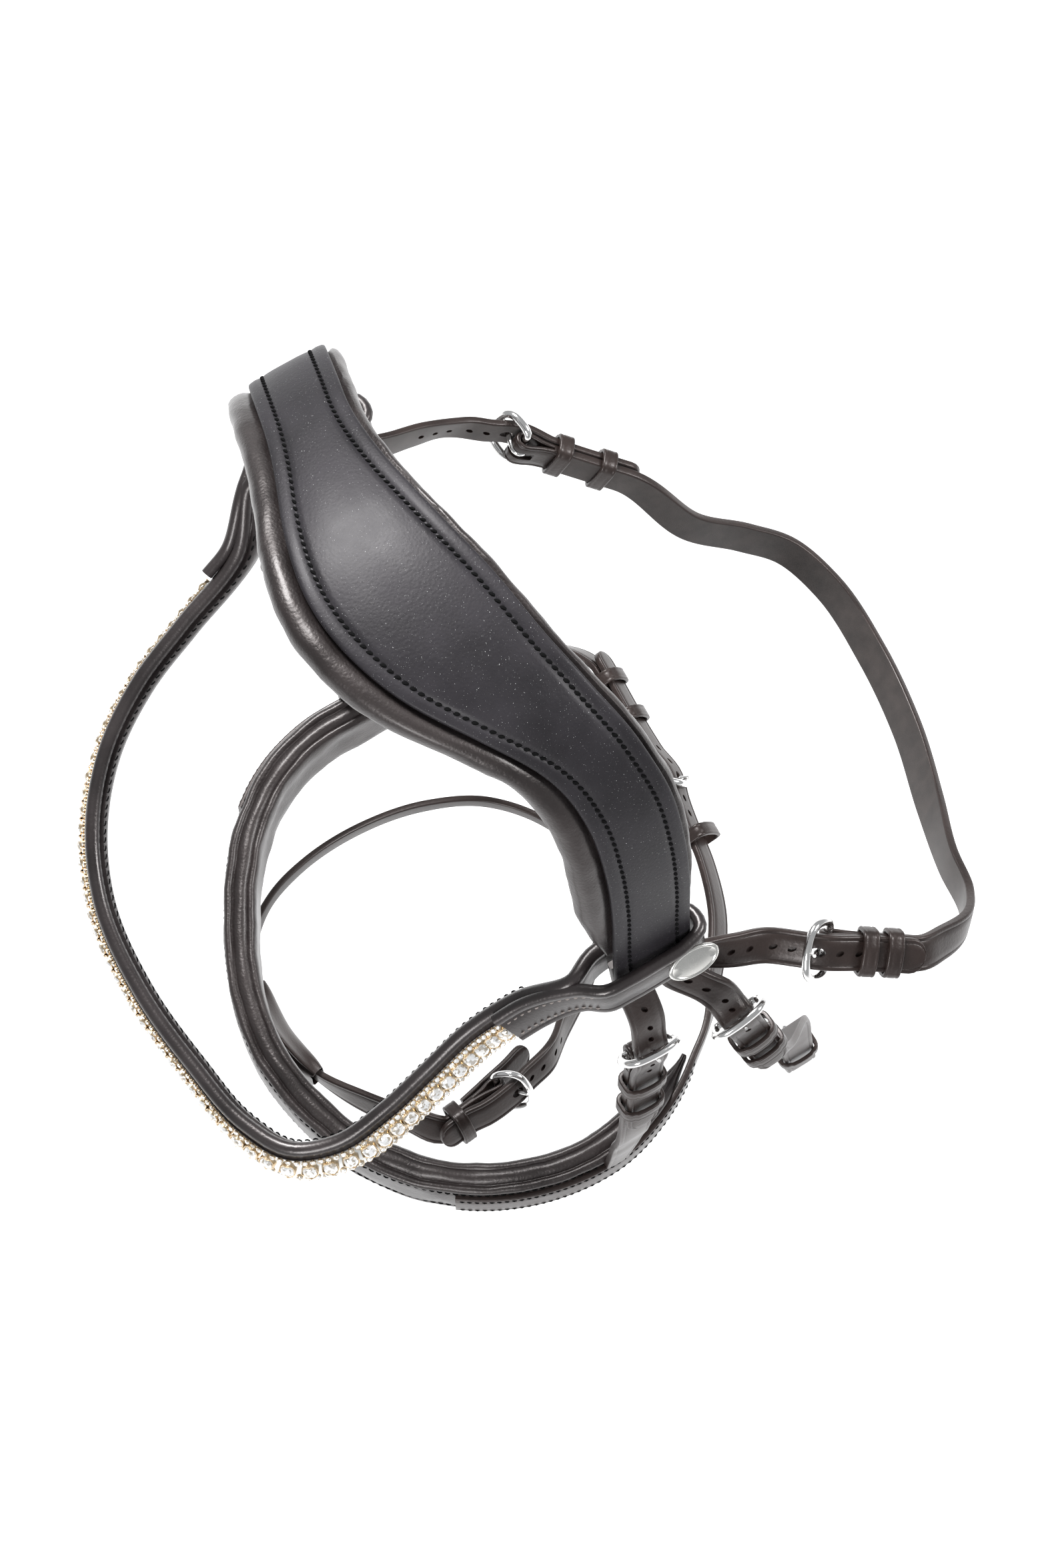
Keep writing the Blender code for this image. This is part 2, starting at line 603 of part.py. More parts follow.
def flash():
    place = PLACES["flash"]
    rows = [
        (60, -53, -431, 0.65, -0.5, 0.5), (42, -68, -425, 0.45, -0.8, 0.35),
        (21, -80, FLASH_LEVEL, 0.2, -0.97, 0), (0, -85, FLASH_LEVEL, 0.0, -1, 0),
        (-22, -83, FLASH_LEVEL, -0.2, -0.97, 0), (-44, -74, -426, -0.5, -0.85, 0),
        (-60, -58, -436, -0.75, -0.6, 0.1), (-71, -34, -448, -0.95, -0.3, 0.1),
        (-76, -2, -460, -1, 0, 0.1), (-73, 30, -470, -0.95, 0.3, 0.1),
        (-62, 57, -477, -0.75, 0.65, 0.1), (-40, 76, -478, -0.3, 0.95, 0.1),
        (-10, 84, -474, 0.2, 0.97, 0.1), (18, 73, -467, 0.55, 0.8, 0.1),
        (38, 53, -459, 0.75, 0.55, 0.3), (54, 30, -450, 0.8, 0.35, 0.45),
    ]
    tail = [(26, 1.0, -0.1), (12, 3.8, 0.2), (6, 5.5, 0.15), (0, 6.1, -0.05), (-6, 6.4, -0.1),
            (-12, 5.9, -0.1), (-18, 4.2, -0.1), (-24, 3.8, 0), (-29, 3.9, 0)]
    path = strap_head(place, 29) + knots(rows) + [place.knot(*row) for row in tail]
    frames, sections = rounded_tip(route(path, 10.0))
    sections[:3] = head_sections(3)
    made = solid("flash_strap", rings_of(frames, sections), LEATHER)
    punch(made, frames, place, (0, 1, 2, 3, 4))
    fold(made, "flash")
    frame_and_tongue("flash")
    keeper("flash_keeper", place, -23, low=-4.2, high=6.2)
    guard = [place.knot(-17, -3.3), place.knot(-9, -4.6, -0.1), place.knot(0, -6.2, -0.1),
             place.knot(9, -7.6, -0.2), place.knot(17, -9.8, -0.3)]
    frames, sections = rounded_tip(route(guard, 8.0), STRAP_WIDTH, 2.0)
    solid("flash_guard_tab", rings_of(frames, sections), LEATHER)

    centre = [(Vector((x, y, FLASH_LEVEL)), Vector((nx, -1, 0)).normalized())
              for x, y, nx in ((24, -79.5, 0.35), (12, -83.2, 0.15), (0, -85, 0.0),
                               (-12, -84.4, -0.12), (-25, -81.6, -0.3))]
    inside = flat(STRAP_WIDTH + 2.4, STRAP_THICK + 3.6, 0.9)
    outside = flat(STRAP_WIDTH + 6.4, STRAP_THICK + 7.6, 0.9)
    tube = solid("nosepiece_loop", rings_of(route(centre, 12.0), outside), LEATHER)
    first, last = centre[0], centre[-1]
    run = (first[0] - centre[1][0]).normalized() * 3, (last[0] - centre[-2][0]).normalized() * 3
    long = [(first[0] + run[0], first[1])] + centre + [(last[0] + run[1], last[1])]
    space = helper("nosepiece_loop_inside", rings_of(route(long, 12.0), inside))
    combine(tube, space, "DIFFERENCE")


# --------------------------------------------------------------- throatlash

def throatlash():
    left, right = PLACES["throat_left"], PLACES["throat_right"]
    start = {
        "left": top_of_billet("left", 9.0, 1, -4, 12)
        + knots([(116.2, 43.5, -142, 0.93, -0.1, 0.3), (122, 60, -150, 0.7, -0.1, 0.7)]),
        "right": top_of_billet("right", 9.0, 1, -4, 12)
        + knots([(-116.5, 46, -138, -0.97, 0.1, -0.2), (-117, 64, -149, -0.93, 0.3, -0.2)]),
    }
    for side, place in (("left", left), ("right", right)):
        tail, gaps = (32, (-15, -25)) if side == "left" else (46, (-17, -36))
        billet(f"throat_{side}_billet", start[side], place, tail, (-2, -1, 0, 1, 2, 3, 4, 5))
        frame_and_tongue(f"throat_{side}")
        keeper(f"throat_{side}_fixed_keeper", place, gaps[0], high=6.3)
        keeper(f"throat_{side}_runner", place, gaps[1])
    rows = [
        (155, 134, -177, 0.7, 0.2, 0.65), (152, 147, -188, 0.8, 0.55, 0.2),
        (142, 157, -202, 0.45, 0.85, -0.2), (122, 163, -215, 0.2, 0.85, -0.45),
        (95, 174, -232, 0.0, 0.72, -0.7), (60, 187, -247, 0.0, 0.7, -0.7),
        (24, 194, -255, 0.0, 0.7, -0.7), (-9, 194, -254, 0.0, 0.75, -0.65),
        (-29, 186, -246, -0.3, 0.7, -0.6), (-40, 171, -234, -0.5, 0.6, -0.6),
        (-50, 151, -217, -0.7, 0.5, -0.5),
    ]
    head, foot = strap_head(left, 36), strap_head(right, 46)[::-1]
    frames = route(head + knots(rows) + foot, 12.0)
    sections = head_sections(len(frames) - 2) + head_sections(2)[::-1]
    made = solid("throatlash_strap", rings_of(frames, sections), LEATHER)
    fold(made, "throat_left")
    fold(made, "throat_right")


crown()
browband()
for _side in ("left", "right"):
    hanger(_side)
    cheekpiece(_side)
noseband()
flash()
throatlash()

hang("browband", (0, 26, -118), "browband", "crystal", "badge")
hang("cheekpiece_left", (116, 33, -127), "cheek_left")
hang("cheekpiece_right", (-125, 33, -127), "cheek_right")
hang("throatlash", (0, 36, -122), "throat")
hang("flash_strap", (0, -85, FLASH_LEVEL), "flash")
hang("noseband", (0, 18, -122), "hanger", "nosepiece", "side_strap", "chin", "flash_strap_pivot")
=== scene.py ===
"""Looks of the snaffle bridle: leather, padding, stitching, stones and metal on its frame.

Lengths are in millimetres until a mesh is made. The frame is the part's own: +Z up,
-Y the nose side, +X the horse's left, origin under the middle of the crown padding.
"""

import math

import bmesh
import bpy
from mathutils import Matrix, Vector, noise


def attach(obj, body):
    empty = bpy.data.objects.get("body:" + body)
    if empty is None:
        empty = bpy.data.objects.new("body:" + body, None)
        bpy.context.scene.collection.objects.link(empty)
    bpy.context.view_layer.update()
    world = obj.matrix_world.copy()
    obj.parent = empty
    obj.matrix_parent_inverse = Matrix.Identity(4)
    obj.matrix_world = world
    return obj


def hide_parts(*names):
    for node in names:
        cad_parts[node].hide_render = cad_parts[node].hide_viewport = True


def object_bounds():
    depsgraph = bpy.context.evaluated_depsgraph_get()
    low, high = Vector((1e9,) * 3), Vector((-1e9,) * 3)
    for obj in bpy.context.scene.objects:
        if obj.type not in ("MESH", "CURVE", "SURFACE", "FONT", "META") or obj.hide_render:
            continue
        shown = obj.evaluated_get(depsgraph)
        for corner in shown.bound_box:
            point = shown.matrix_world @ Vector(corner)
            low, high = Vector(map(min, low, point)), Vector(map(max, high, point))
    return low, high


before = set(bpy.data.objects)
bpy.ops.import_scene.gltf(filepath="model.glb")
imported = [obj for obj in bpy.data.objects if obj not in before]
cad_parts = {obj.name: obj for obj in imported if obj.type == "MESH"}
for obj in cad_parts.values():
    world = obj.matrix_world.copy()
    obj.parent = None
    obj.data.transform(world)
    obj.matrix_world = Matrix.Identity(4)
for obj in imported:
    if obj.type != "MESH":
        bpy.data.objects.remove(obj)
CAD_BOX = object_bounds()

MM = 0.001
STEP = 2.5                # ring spacing along a strap
STRAP_WIDTH = 14.0
STRAP_THICK = 3.0
FOLD_THICK = 3.6          # hangers and throatlash strap
TIP_LENGTH = 5.8          # a strap's round tip
CROWN_THICK = 3.2
CROWN_MIDDLE = 0.485      # share of the crown's length to the left of its middle
CROWN_END_HALF = 16.0     # half its width near its ends
CROWN_SWELL = 13.0        # what the middle has on top of that
CROWN_SHOULDER = 100.0    # distance from the middle where the swell ends
PAD_END = -104.0          # the crown padding stops at this height
LAYER_GAP = 0.8           # between the crown leather and the billets under it
STITCH_INSET = 6.0        # the crown's stitching from its edges
BROWBAND_HALF = 2.2       # half the browband's thickness
BEAD = 2.9                # radius of its rolled edge
STONES_START, STONES_END = 0.03, 0.038    # shares of the browband left bare at its ends
SIDE_HEIGHT = 22.0        # noseband side strap where it lies on the nosepiece
SIDE_LIFT = 1.95          # from the nosepiece's face to that strap's middle
HOLE_PITCH = 8.5
HOLE_HALF = (1.75, 1.05)  # half a hole's length and width
TONGUE_HOLE_HALF = (3.1, 1.9)
TONGUE_HOLE = (5.5, 0, 5.6)               # where the tongue passes the billet: u, v, w
WIRE = 1.65               # radius of a buckle frame's wire
FRAME_HALF = 10.6         # its half width
FRAME_REACH = 13.5        # heel bar to toe bar
FRAME_TILT = math.radians(42)             # between frame and strap
TONGUE_WIRE = 1.15
TONGUE_RING = 2.9         # radius of the tongue's turn round the heel bar
TONGUE_LEAN = math.radians(67.3)          # between tongue and strap
TONGUE_LENGTH = 13.6
SHARP = math.radians(48)  # steeper edges stay sharp
FLOOR_DROP = 110.0        # from the lowest strap to the floor
NOISE_SEED = 1794834750   # without it the padding's unevenness changes from run to run
CAMERA_VIEW = (59, 73)    # azimuth and elevation in degrees
CAMERA_TARGET, CAMERA_AWAY = (0.023, 0.027, -0.16), 1.45      # metres

noise.seed_set(NOISE_SEED)

CROWN_LINE = [
    (119, 26, -127), (113, 28, -106), (106, 31, -78), (97, 33, -52), (84, 33, -27),
    (67, 28, -7), (46, 17, 7), (24, 7, 14), (0, 1, 16.5), (-24, -2, 15), (-50, -1, 9),
    (-78, 4, -3), (-106, 11, -21), (-127, 17, -45), (-135, 21, -73), (-130, 23, -101),
    (-123, 23, -127),
]
LOOPS = {
    "left": dict(middle=(116.6, 26, -118), down=(0.26, 0, -0.966), out=(0.966, 0, 0.26)),
    "right": dict(middle=(-125.6, 23, -118), down=(0.25, 0, -0.968), out=(-0.968, 0, -0.25)),
}
LOOP_PATH = [
    (-7, -38, 7), (-4, -29, 3), (3.0, -20.5, 1), (4.2, -12, 0), (4.2, 0, 0), (3.6, 12, 0),
    (-0.2, 20.4, 0), (-7.0, 20.4, 0), (-11.4, 12, 0), (-12.0, 0, 0), (-12.2, -13, 0.5),
    (-12.4, -24, 3), (-12.6, -34, 6.5),
]
BROWBAND_LINE = [
    (99, -22, -127, 0.80, -0.10, 0.60), (97, -44, -141, 0.80, -0.10, 0.60),
    (100, -64, -151, 0.80, -0.10, 0.58), (103, -84, -159, 0.80, -0.20, 0.55),
    (103, -104, -166, 0.75, -0.45, 0.48), (96, -119, -169, 0.50, -0.80, 0.40),
    (80, -128, -171, 0.30, -0.90, 0.26), (50, -134, -172, 0.15, -0.96, 0.12),
    (14, -137, -171, 0.00, -0.97, 0.12), (-22, -133, -168, -0.20, -0.95, 0.12),
    (-49, -121, -163, -0.45, -0.86, 0.12), (-70, -103, -157, -0.65, -0.72, 0.12),
    (-84, -81, -149, -0.82, -0.52, 0.12), (-93, -55, -139, -0.90, -0.35, 0.14),
    (-102, -26, -128, -0.94, -0.20, 0.16),
]
BROWBAND_HEIGHT = 17.0
NOSE_LINE = [
    (100, 70), (118, 44), (128, 14), (127, -12), (118, -40), (101, -65), (78, -84), (46, -97),
    (13, -101), (-18, -95), (-48, -81), (-80, -58), (-100, -30), (-107, -4), (-107, 18),
    (-107, 40), (-105, 60),
]
NOSE_LEVEL = -390.0
CHIN_LEVEL = -400.0
FLASH_LEVEL = -421.0
BUCKLES = {
    "hanger_left": dict(bar=(131, 15, -176), billet=(-0.17, 0.12, 0.97), out=(0.97, 0, 0.2)),
    "hanger_right": dict(bar=(-126, 8, -178), billet=(-0.06, 0.12, 0.99), out=(-1, 0, 0)),
    "cheek_left": dict(bar=(139, 51, -171), billet=(-0.24, -0.22, 0.94), out=(0.92, 0, 0.3)),
    "cheek_right": dict(bar=(-125, 43, -176), billet=(0.02, -0.16, 0.98), out=(-1, 0, 0)),
    "throat_left": dict(bar=(137, 92, -161), billet=(-0.50, -0.83, 0.22), out=(0.5, -0.2, 0.85)),
    "throat_right": dict(bar=(-100, 99, -171), billet=(-0.60, -0.70, 0.38), out=(-0.84, 0.5, -0.15)),
    "chin": dict(bar=(-12, 120, -402), billet=(1, -0.05, 0), out=(0.05, 0.87, 0.5)),
    "flash": dict(bar=(68, -12, -438), billet=(-0.10, 0.99, -0.05), out=(0.8, 0.1, 0.55)),
}


# ---- materials

class Finish:
    """A node material built up from a Principled shader."""

    def __init__(self, name, colour, rough, metallic=0.0, **inputs):
        self.material = bpy.data.materials.new(name)
        self.material.use_nodes = True
        self.tree = self.material.node_tree
        self.shader = self.tree.nodes["Principled BSDF"]
        self.paint(Base_Color=(*colour, 1), Roughness=rough, Metallic=metallic, **inputs)
        self.here = self.add("ShaderNodeTexCoord").outputs["Object"]

    def set(self, node, inputs):
        for key, value in inputs.items():
            if isinstance(value, bpy.types.NodeSocket):
                self.tree.links.new(value, node.inputs[key])
            else:
                node.inputs[key].default_value = value

    def add(self, kind, inputs=None, **settings):
        node = self.tree.nodes.new(kind)
        for key, value in settings.items():
            setattr(node, key, value)
        self.set(node, inputs or {})
        return node

    def noise(self, scale, detail=3.0, rough=0.55):
        return self.add("ShaderNodeTexNoise", {"Vector": self.here, "Scale": scale, "Detail": detail,
                                               "Roughness": rough}).outputs["Fac"]

    def cells(self, scale):
        made = self.add("ShaderNodeTexVoronoi", {"Vector": self.here, "Scale": scale}, feature="SMOOTH_F1")
        return made.outputs["Distance"]

    def between(self, value, low, high, to_low=0.0, to_high=1.0):
        made = self.add("ShaderNodeMapRange", {"Value": value, "From Min": low, "From Max": high,
                                               "To Min": to_low, "To Max": to_high})
        return made.outputs["Result"]

    def mix(self, factor, first, second):
        first, second = (c if isinstance(c, bpy.types.NodeSocket) else (*c, 1) for c in (first, second))
        made = self.add("ShaderNodeMix", {0: factor, 6: first, 7: second}, data_type="RGBA")
        return made.outputs[2]

    def bump(self, height, depth, strength, after=None):
        inputs = {"Height": height, "Distance": depth * MM, "Strength": strength}
        if after:
            inputs["Normal"] = after
        return self.add("ShaderNodeBump", inputs).outputs["Normal"]

    def paint(self, **inputs):
        self.set(self.shader, {key.replace("_", " "): value for key, value in inputs.items()})


def leather(name, colour, rough, coat, grain=1.0, dust=0.04, wrinkle=0.12, gloss=0.5,
            tint=(1.0, 0.925, 0.91)):
    """Dyed leather: uneven dye, fine pebble grain, pores, faint wrinkles, specks of dust."""
    made = Finish(name, colour, rough, Coat_Weight=coat, Coat_Roughness=0.22,
                  Specular_IOR_Level=gloss, Specular_Tint=(*tint, 1))
    cloud = made.noise(38.0, 5.0)
    fine = made.noise(1500.0, 4.0, 0.6)
    pebble = made.cells(900.0)
    specks = made.between(made.noise(2300.0, 2.0), 0.70, 0.76)
    dark, light = ([c * k for c in colour] for k in (0.6, 1.45))
    dyed = made.mix(made.between(cloud, 0.3, 0.7), dark, light)
    dusty = made.mix(made.add("ShaderNodeMath", {0: specks, 1: dust}, operation="MULTIPLY").outputs[0],
                     dyed, (0.5, 0.5, 0.5))
    normal = made.bump(pebble, 0.12 * grain, 0.6)
    normal = made.bump(fine, 0.07 * grain, 0.7, normal)
    normal = made.bump(made.noise(120.0, 6.0, 0.7), wrinkle, 0.5, normal)
    made.paint(Base_Color=dusty, Roughness=made.between(cloud, 0.3, 0.7, rough - 0.06, rough + 0.08),
               Normal=normal)
    return made.material


def suede(name, colour):
    """The flesh side of a strap: fibrous, matt, a little paler."""
    made = Finish(name, colour, 0.85, Sheen_Weight=0.25, Sheen_Roughness=0.5)
    fibres = made.noise(2600.0, 5.0, 0.7)
    shade = made.mix(made.between(made.noise(160.0, 5.0), 0.3, 0.7), [c * 0.75 for c in colour],
                     [c * 1.35 for c in colour])
    made.paint(Base_Color=shade, Normal=made.bump(fibres, 0.12, 0.7))
    return made.material


def metal(name, colour, rough):
    """Polished metal with fine handling scratches and a cast of unevenness."""
    made = Finish(name, colour, rough, 1.0)
    rub = made.noise(420.0, 6.0, 0.75)
    made.paint(Roughness=made.between(rub, 0.3, 0.75, rough, rough + 0.12),
               Base_Color=made.mix(made.between(made.noise(90.0), 0.3, 0.7), [c * 0.86 for c in colour],
                                   colour),
               Normal=made.bump(made.noise(300.0, 3.0), 0.03, 0.35))
    return made.material


def thread(name, colour):
    """Waxed linen thread: a twist shows as a fine fibre bump."""
    made = Finish(name, colour, 0.85, Specular_IOR_Level=0.12)
    made.paint(Normal=made.bump(made.noise(4200.0, 3.0), 0.06, 0.8),
               Base_Color=made.mix(made.noise(900.0), [c * 0.7 for c in colour], [c * 1.3 for c in colour]))
    return made.material


def stone(name):
    """Clear cut glass on foil: each small patch of it gets a different brightness painted into its colour, a
    painted reflection of the facets' glints.
    """
    made = Finish(name, (0.95, 0.94, 0.9), 0.05, 0.55, IOR=1.6)
    patch = made.add("ShaderNodeTexVoronoi", {"Vector": made.here, "Scale": 950.0}).outputs["Color"]
    glint_share = made.add("ShaderNodeSeparateColor", {"Color": patch}).outputs["Red"]
    # painted reflection: patch by patch the colour runs from a dim warm grey to white, standing in for glints
    # off the facets
    painted_facet_glints = made.mix(made.between(glint_share, 0.2, 0.5), (0.50, 0.45, 0.38), (1.0, 1.0, 1.0))
    made.paint(Base_Color=painted_facet_glints, Roughness=made.between(made.noise(500.0), 0.3, 0.7, 0.03, 0.12))
    return made.material


CROWN_LEATHER = leather("crown_leather_finish", (0.0112, 0.0100, 0.0122), 0.52, 0.04, grain=0.9, dust=0.9,
                        wrinkle=0.05, gloss=0.34, tint=(1.0, 0.965, 0.995))
STRAP_LEATHER = leather("strap_leather_finish", (0.0140, 0.0083, 0.0069), 0.40, 0.12, grain=0.9)
EDGE_LEATHER = leather("rolled_leather_finish", (0.0160, 0.0130, 0.0132), 0.34, 0.34)
PAD_LEATHER = leather("padding_leather_finish", (0.0140, 0.0108, 0.0106), 0.40, 0.20, grain=1.6, dust=0.08,
                      wrinkle=0.3)
FLESH = suede("flesh_side_finish", (0.030, 0.0235, 0.0215))
LINING = suede("lining_finish", (0.018, 0.014, 0.013))
STEEL = metal("polished_steel_finish", (0.86, 0.85, 0.84), 0.09)
BADGE = metal("badge_finish", (0.78, 0.77, 0.74), 0.20)
GOLD = metal("gold_setting_finish", (0.78, 0.62, 0.42), 0.22)
FOIL = metal("foil_finish", (0.95, 0.95, 0.93), 0.15)
THREAD = thread("black_thread_finish", (0.0018, 0.0018, 0.0020))
PALE_THREAD = thread("lining_thread_finish", (0.34, 0.30, 0.28))
STONE = stone("stone_finish")


# ---- geometry

class Place:
    """A local frame: u towards the billet, v across, w outward."""

    def __init__(self, origin, u, w):
        self.origin = Vector(origin)
        self.u = Vector(u).normalized()
        self.w = (Vector(w) - Vector(w).dot(self.u) * self.u).normalized()
        self.v = self.w.cross(self.u)

    def at(self, u, v=0.0, w=0.0):
        return self.origin + self.u * u + self.v * v + self.w * w

    def knot(self, u, w=0.0, lean=0.0):
        return self.at(u, 0, w), (self.w + self.u * lean).normalized()


PLACES = {name: Place(b["bar"], b["billet"], b["out"]) for name, b in BUCKLES.items()}


def loop_point(side, outward, backward, down):
    loop = LOOPS[side]
    return (Vector(loop["middle"]) + Vector(loop["out"]) * outward
            + Vector((0, backward, 0)) + Vector(loop["down"]) * down)


def loop_knot(side, outward, backward, down):
    return loop_point(side, outward, backward, down), Vector(LOOPS[side]["out"])


def knots(rows):
    return [(Vector(row[:3]), Vector(row[3:]).normalized()) for row in rows]


def route(points, step=STEP, closed=False):
    """Frames (position, tangent, normal, across) on a smooth curve through knots."""
    count = len(points)
    last = count if closed else count - 1
    gaps = [(points[(i + 1) % count][0] - points[i][0]).length for i in range(last)]

    def slope(i, k):
        if not closed and i == 0:
            return (points[1][k] - points[0][k]) / gaps[0]
        if not closed and i == count - 1:
            return (points[i][k] - points[i - 1][k]) / gaps[-1]
        before, after = gaps[i - 1], gaps[i % last]
        back = (points[i][k] - points[i - 1][k]) / before
        fore = (points[(i + 1) % count][k] - points[i][k]) / after
        return (back * after + fore * before) / (before + after)

    samples = []
    for i in range(last):
        j = (i + 1) % count
        parts = max(1, round(gaps[i] / step))
        for n in range(parts + (not closed and i == last - 1)):
            t = n / parts
            row = []
            for k in (0, 1):
                a, b = points[i][k], points[j][k]
                ma, mb = slope(i, k) * gaps[i], slope(j, k) * gaps[i]
                row.append(a * (2 * t**3 - 3 * t**2 + 1) + ma * (t**3 - 2 * t**2 + t)
                           + b * (3 * t**2 - 2 * t**3) + mb * (t**3 - t**2))
            samples.append(row)
    frames = []
    for i, (here, hint) in enumerate(samples):
        fore = samples[(i + 1) % len(samples)] if closed or i + 1 < len(samples) else samples[i]
        back = samples[i - 1] if closed or i else samples[i]
        tangent = (fore[0] - back[0]).normalized()
        normal = (hint - hint.dot(tangent) * tangent).normalized()
        frames.append((here, tangent, normal, tangent.cross(normal)))
    return frames


def lengths(frames):
    marks = [0.0]
    for first, second in zip(frames, frames[1:]):
        marks.append(marks[-1] + (second[0] - first[0]).length)
    return marks


def spaced(frames, pitch, start, end):
    """Frames at equal spacing along a route, leaving out its ends."""
    marks = lengths(frames)
    run = marks[-1] - start - end
    count = max(1, round(run / pitch))
    out, i = [], 0
    for n in range(count + 1):
        want = start + run * n / count
        while i < len(marks) - 2 and marks[i + 1] < want:
            i += 1
        t = (want - marks[i]) / max(1e-6, marks[i + 1] - marks[i])
        pair = zip(frames[i], frames[i + 1])
        here, tangent, normal, across = (a.lerp(b, t) for a, b in pair)
        out.append((here, tangent.normalized(), normal.normalized(), across.normalized()))
    return out


def shifted(frames, across, outward):
    """The same frames moved sideways and outward."""
    return [(here + side * across + normal * outward, tangent, normal, side)
            for here, tangent, normal, side in frames]


def arc(x, y, radius, first, last, count):
    """Points on an arc, angles in degrees."""
    turn = [math.radians(first + (last - first) * i / (count - 1)) for i in range(count)]
    return [(x + radius * math.cos(t), y + radius * math.sin(t)) for t in turn]


def disc(radius, sides):
    return arc(0, 0, radius, 180, -180 + 360 / sides, sides)


def smooth_loop(points):
    """A closed outline with one more point between each two, on a smooth curve."""
    out, count = [], len(points)
    for i in range(count):
        p0, p1, p2, p3 = (Vector(points[(i + k) % count]) for k in (-1, 0, 1, 2))
        for t in (0.0, 0.5):
            out.append(tuple(0.5 * ((2 * p1) + (p2 - p0) * t + (2 * p0 - 5 * p1 + 4 * p2 - p3) * t * t
                                    + (3 * p1 - p0 - 3 * p2 + p3) * t**3)))
    return out


def strap_outline(width, thick, crease=1.9, puff=0.12):
    """A strap's section: rounded edges, a crease line along each side of the face."""
    a, b = width / 2, thick / 2
    r = min(0.85, b * 0.95)
    face = [(-a + crease - 0.4, b), (-a + crease, b - 0.24), (-a + crease + 0.45, b + 0.03)]
    middle = [(-a * 0.35, b + puff), (a * 0.35, b + puff)]
    outline = arc(r - a, b - r, r, 180, 90, 5) + face + middle
    outline += [(-x, y) for x, y in reversed(face)] + arc(a - r, b - r, r, 90, 0, 5)
    outline += arc(a - r, r - b, r, 0, -90, 5) + [(0, -b)] + arc(r - a, r - b, r, -90, -180, 5)
    return outline


def rounded_tip(frames, outlines):
    """Adds a round tip to a strap's end."""
    here, tangent, normal, across = frames[-1]
    base = outlines[-1]
    for turn in (20, 38, 53, 65, 74, 81):
        share, reach = math.cos(math.radians(turn)), math.sin(math.radians(turn))
        thin = 0.55 + 0.45 * math.sqrt(share)
        frames.append((here + tangent * TIP_LENGTH * reach, tangent, normal, across))
        outlines.append([(x * share, y * thin) for x, y in base])
    return frames, outlines


def mesh_object(name, points, faces, finishes, indices=None, flat_faces=False):
    mesh = bpy.data.meshes.new(name)
    mesh.from_pydata([tuple(Vector(p) * MM) for p in points], [], faces)
    work = bmesh.new()
    work.from_mesh(mesh)
    bmesh.ops.recalc_face_normals(work, faces=work.faces)
    work.to_mesh(mesh)
    work.free()
    for finish in finishes:
        mesh.materials.append(finish)
    if indices:
        mesh.polygons.foreach_set("material_index", indices)
    if not flat_faces:
        mesh.shade_smooth()
        mesh.set_sharp_from_angle(angle=SHARP)
    made = bpy.data.objects.new(name, mesh)
    bpy.context.scene.collection.objects.link(made)
    return made


def skin(sides, count, base=0, closed=False):
    """Faces over rings of points: a tube with two end caps, or one that closes on itself."""
    faces = []
    for k in range(count if closed else count - 1):
        a, b = base + k * sides, base + (k + 1) % count * sides
        faces += [(a + i, b + i, b + (i + 1) % sides, a + (i + 1) % sides) for i in range(sides)]
    if not closed:
        last = base + (count - 1) * sides
        faces += [tuple(range(base, base + sides)), tuple(range(last, last + sides))[::-1]]
    return faces


def sweep(name, frames, outlines, finishes, closed=False, bend=None):
    """A closed body from one outline per frame; faces on its back take the second finish."""
    outlines = outlines if isinstance(outlines[0], list) else [outlines] * len(frames)
    sides, count = len(outlines[0]), len(frames)
    points = []
    for (here, _, normal, across), outline in zip(frames, outlines):
        points += [here + across * a + normal * n for a, n in outline]
    if bend:
        points = [bend(p) for p in points]
    low = min(n for _, n in outlines[0])
    backs = [int(len(finishes) > 1 and max(outlines[0][i][1], outlines[0][(i + 1) % sides][1]) < low + 0.15)
             for i in range(sides)]
    indices = backs * count if closed else backs * (count - 1) + [0, 0]
    return mesh_object(name, points, skin(sides, count, closed=closed), finishes, indices)


def piece(made, body, slot, *nodes):
    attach(made, body)
    if nodes:
        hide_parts(*nodes)
    return made


def cut(made, prisms):
    """Cuts closed prisms, each a run of rings, out of a piece."""
    points, faces = [], []
    for rings in prisms:
        faces += skin(len(rings[0]), len(rings), len(points))
        for ring in rings:
            points += ring
    cutter = mesh_object(made.name + "_cutter", points, faces, [made.data.materials[0]])
    step = made.modifiers.new("cut", "BOOLEAN")
    step.operation, step.object = "DIFFERENCE", cutter
    graph = bpy.context.evaluated_depsgraph_get()
    result = bpy.data.meshes.new_from_object(made.evaluated_get(graph))
    made.modifiers.clear()
    old, made.data = made.data, result
    bpy.data.meshes.remove(old)
    bpy.data.objects.remove(cutter, do_unlink=True)
    made.data.shade_smooth()
    made.data.set_sharp_from_angle(angle=SHARP)


def stitches(name, lines, body, length, radius, lean=18.0, finish=THREAD):
    """Thread stitches at each frame of each line, as one piece."""
    points, faces = [], []
    shares = (-1.0, -0.72, 0.0, 0.72, 1.0)
    turn = math.radians(lean)
    for line in lines:
        for here, tangent, normal, across in line:
            along = tangent * math.cos(turn) + across * math.sin(turn)
            side = normal.cross(along)
            faces += skin(6, len(shares), len(points))
            for s in shares:
                centre = here + along * s * length / 2 + normal * (0.30 * (1 - s * s) - 0.12)
                size = radius * (1.0 - 0.35 * s * s)
                points += [centre + side * size * math.cos(t) + normal * size * math.sin(t)
                           for t in (math.radians(60 * i) for i in range(6))]
    piece(mesh_object(name, points, faces, [finish]), body, "leather")


def crumple(scale, amount):
    """Moves points by smooth noise: soft leather's unevenness."""
    def move(p):
        fine = noise.noise_vector(p / (scale * 0.3)) * amount * 0.3
        return p + noise.noise_vector(p / scale) * amount + fine
    return move


# ---- buckles, keepers

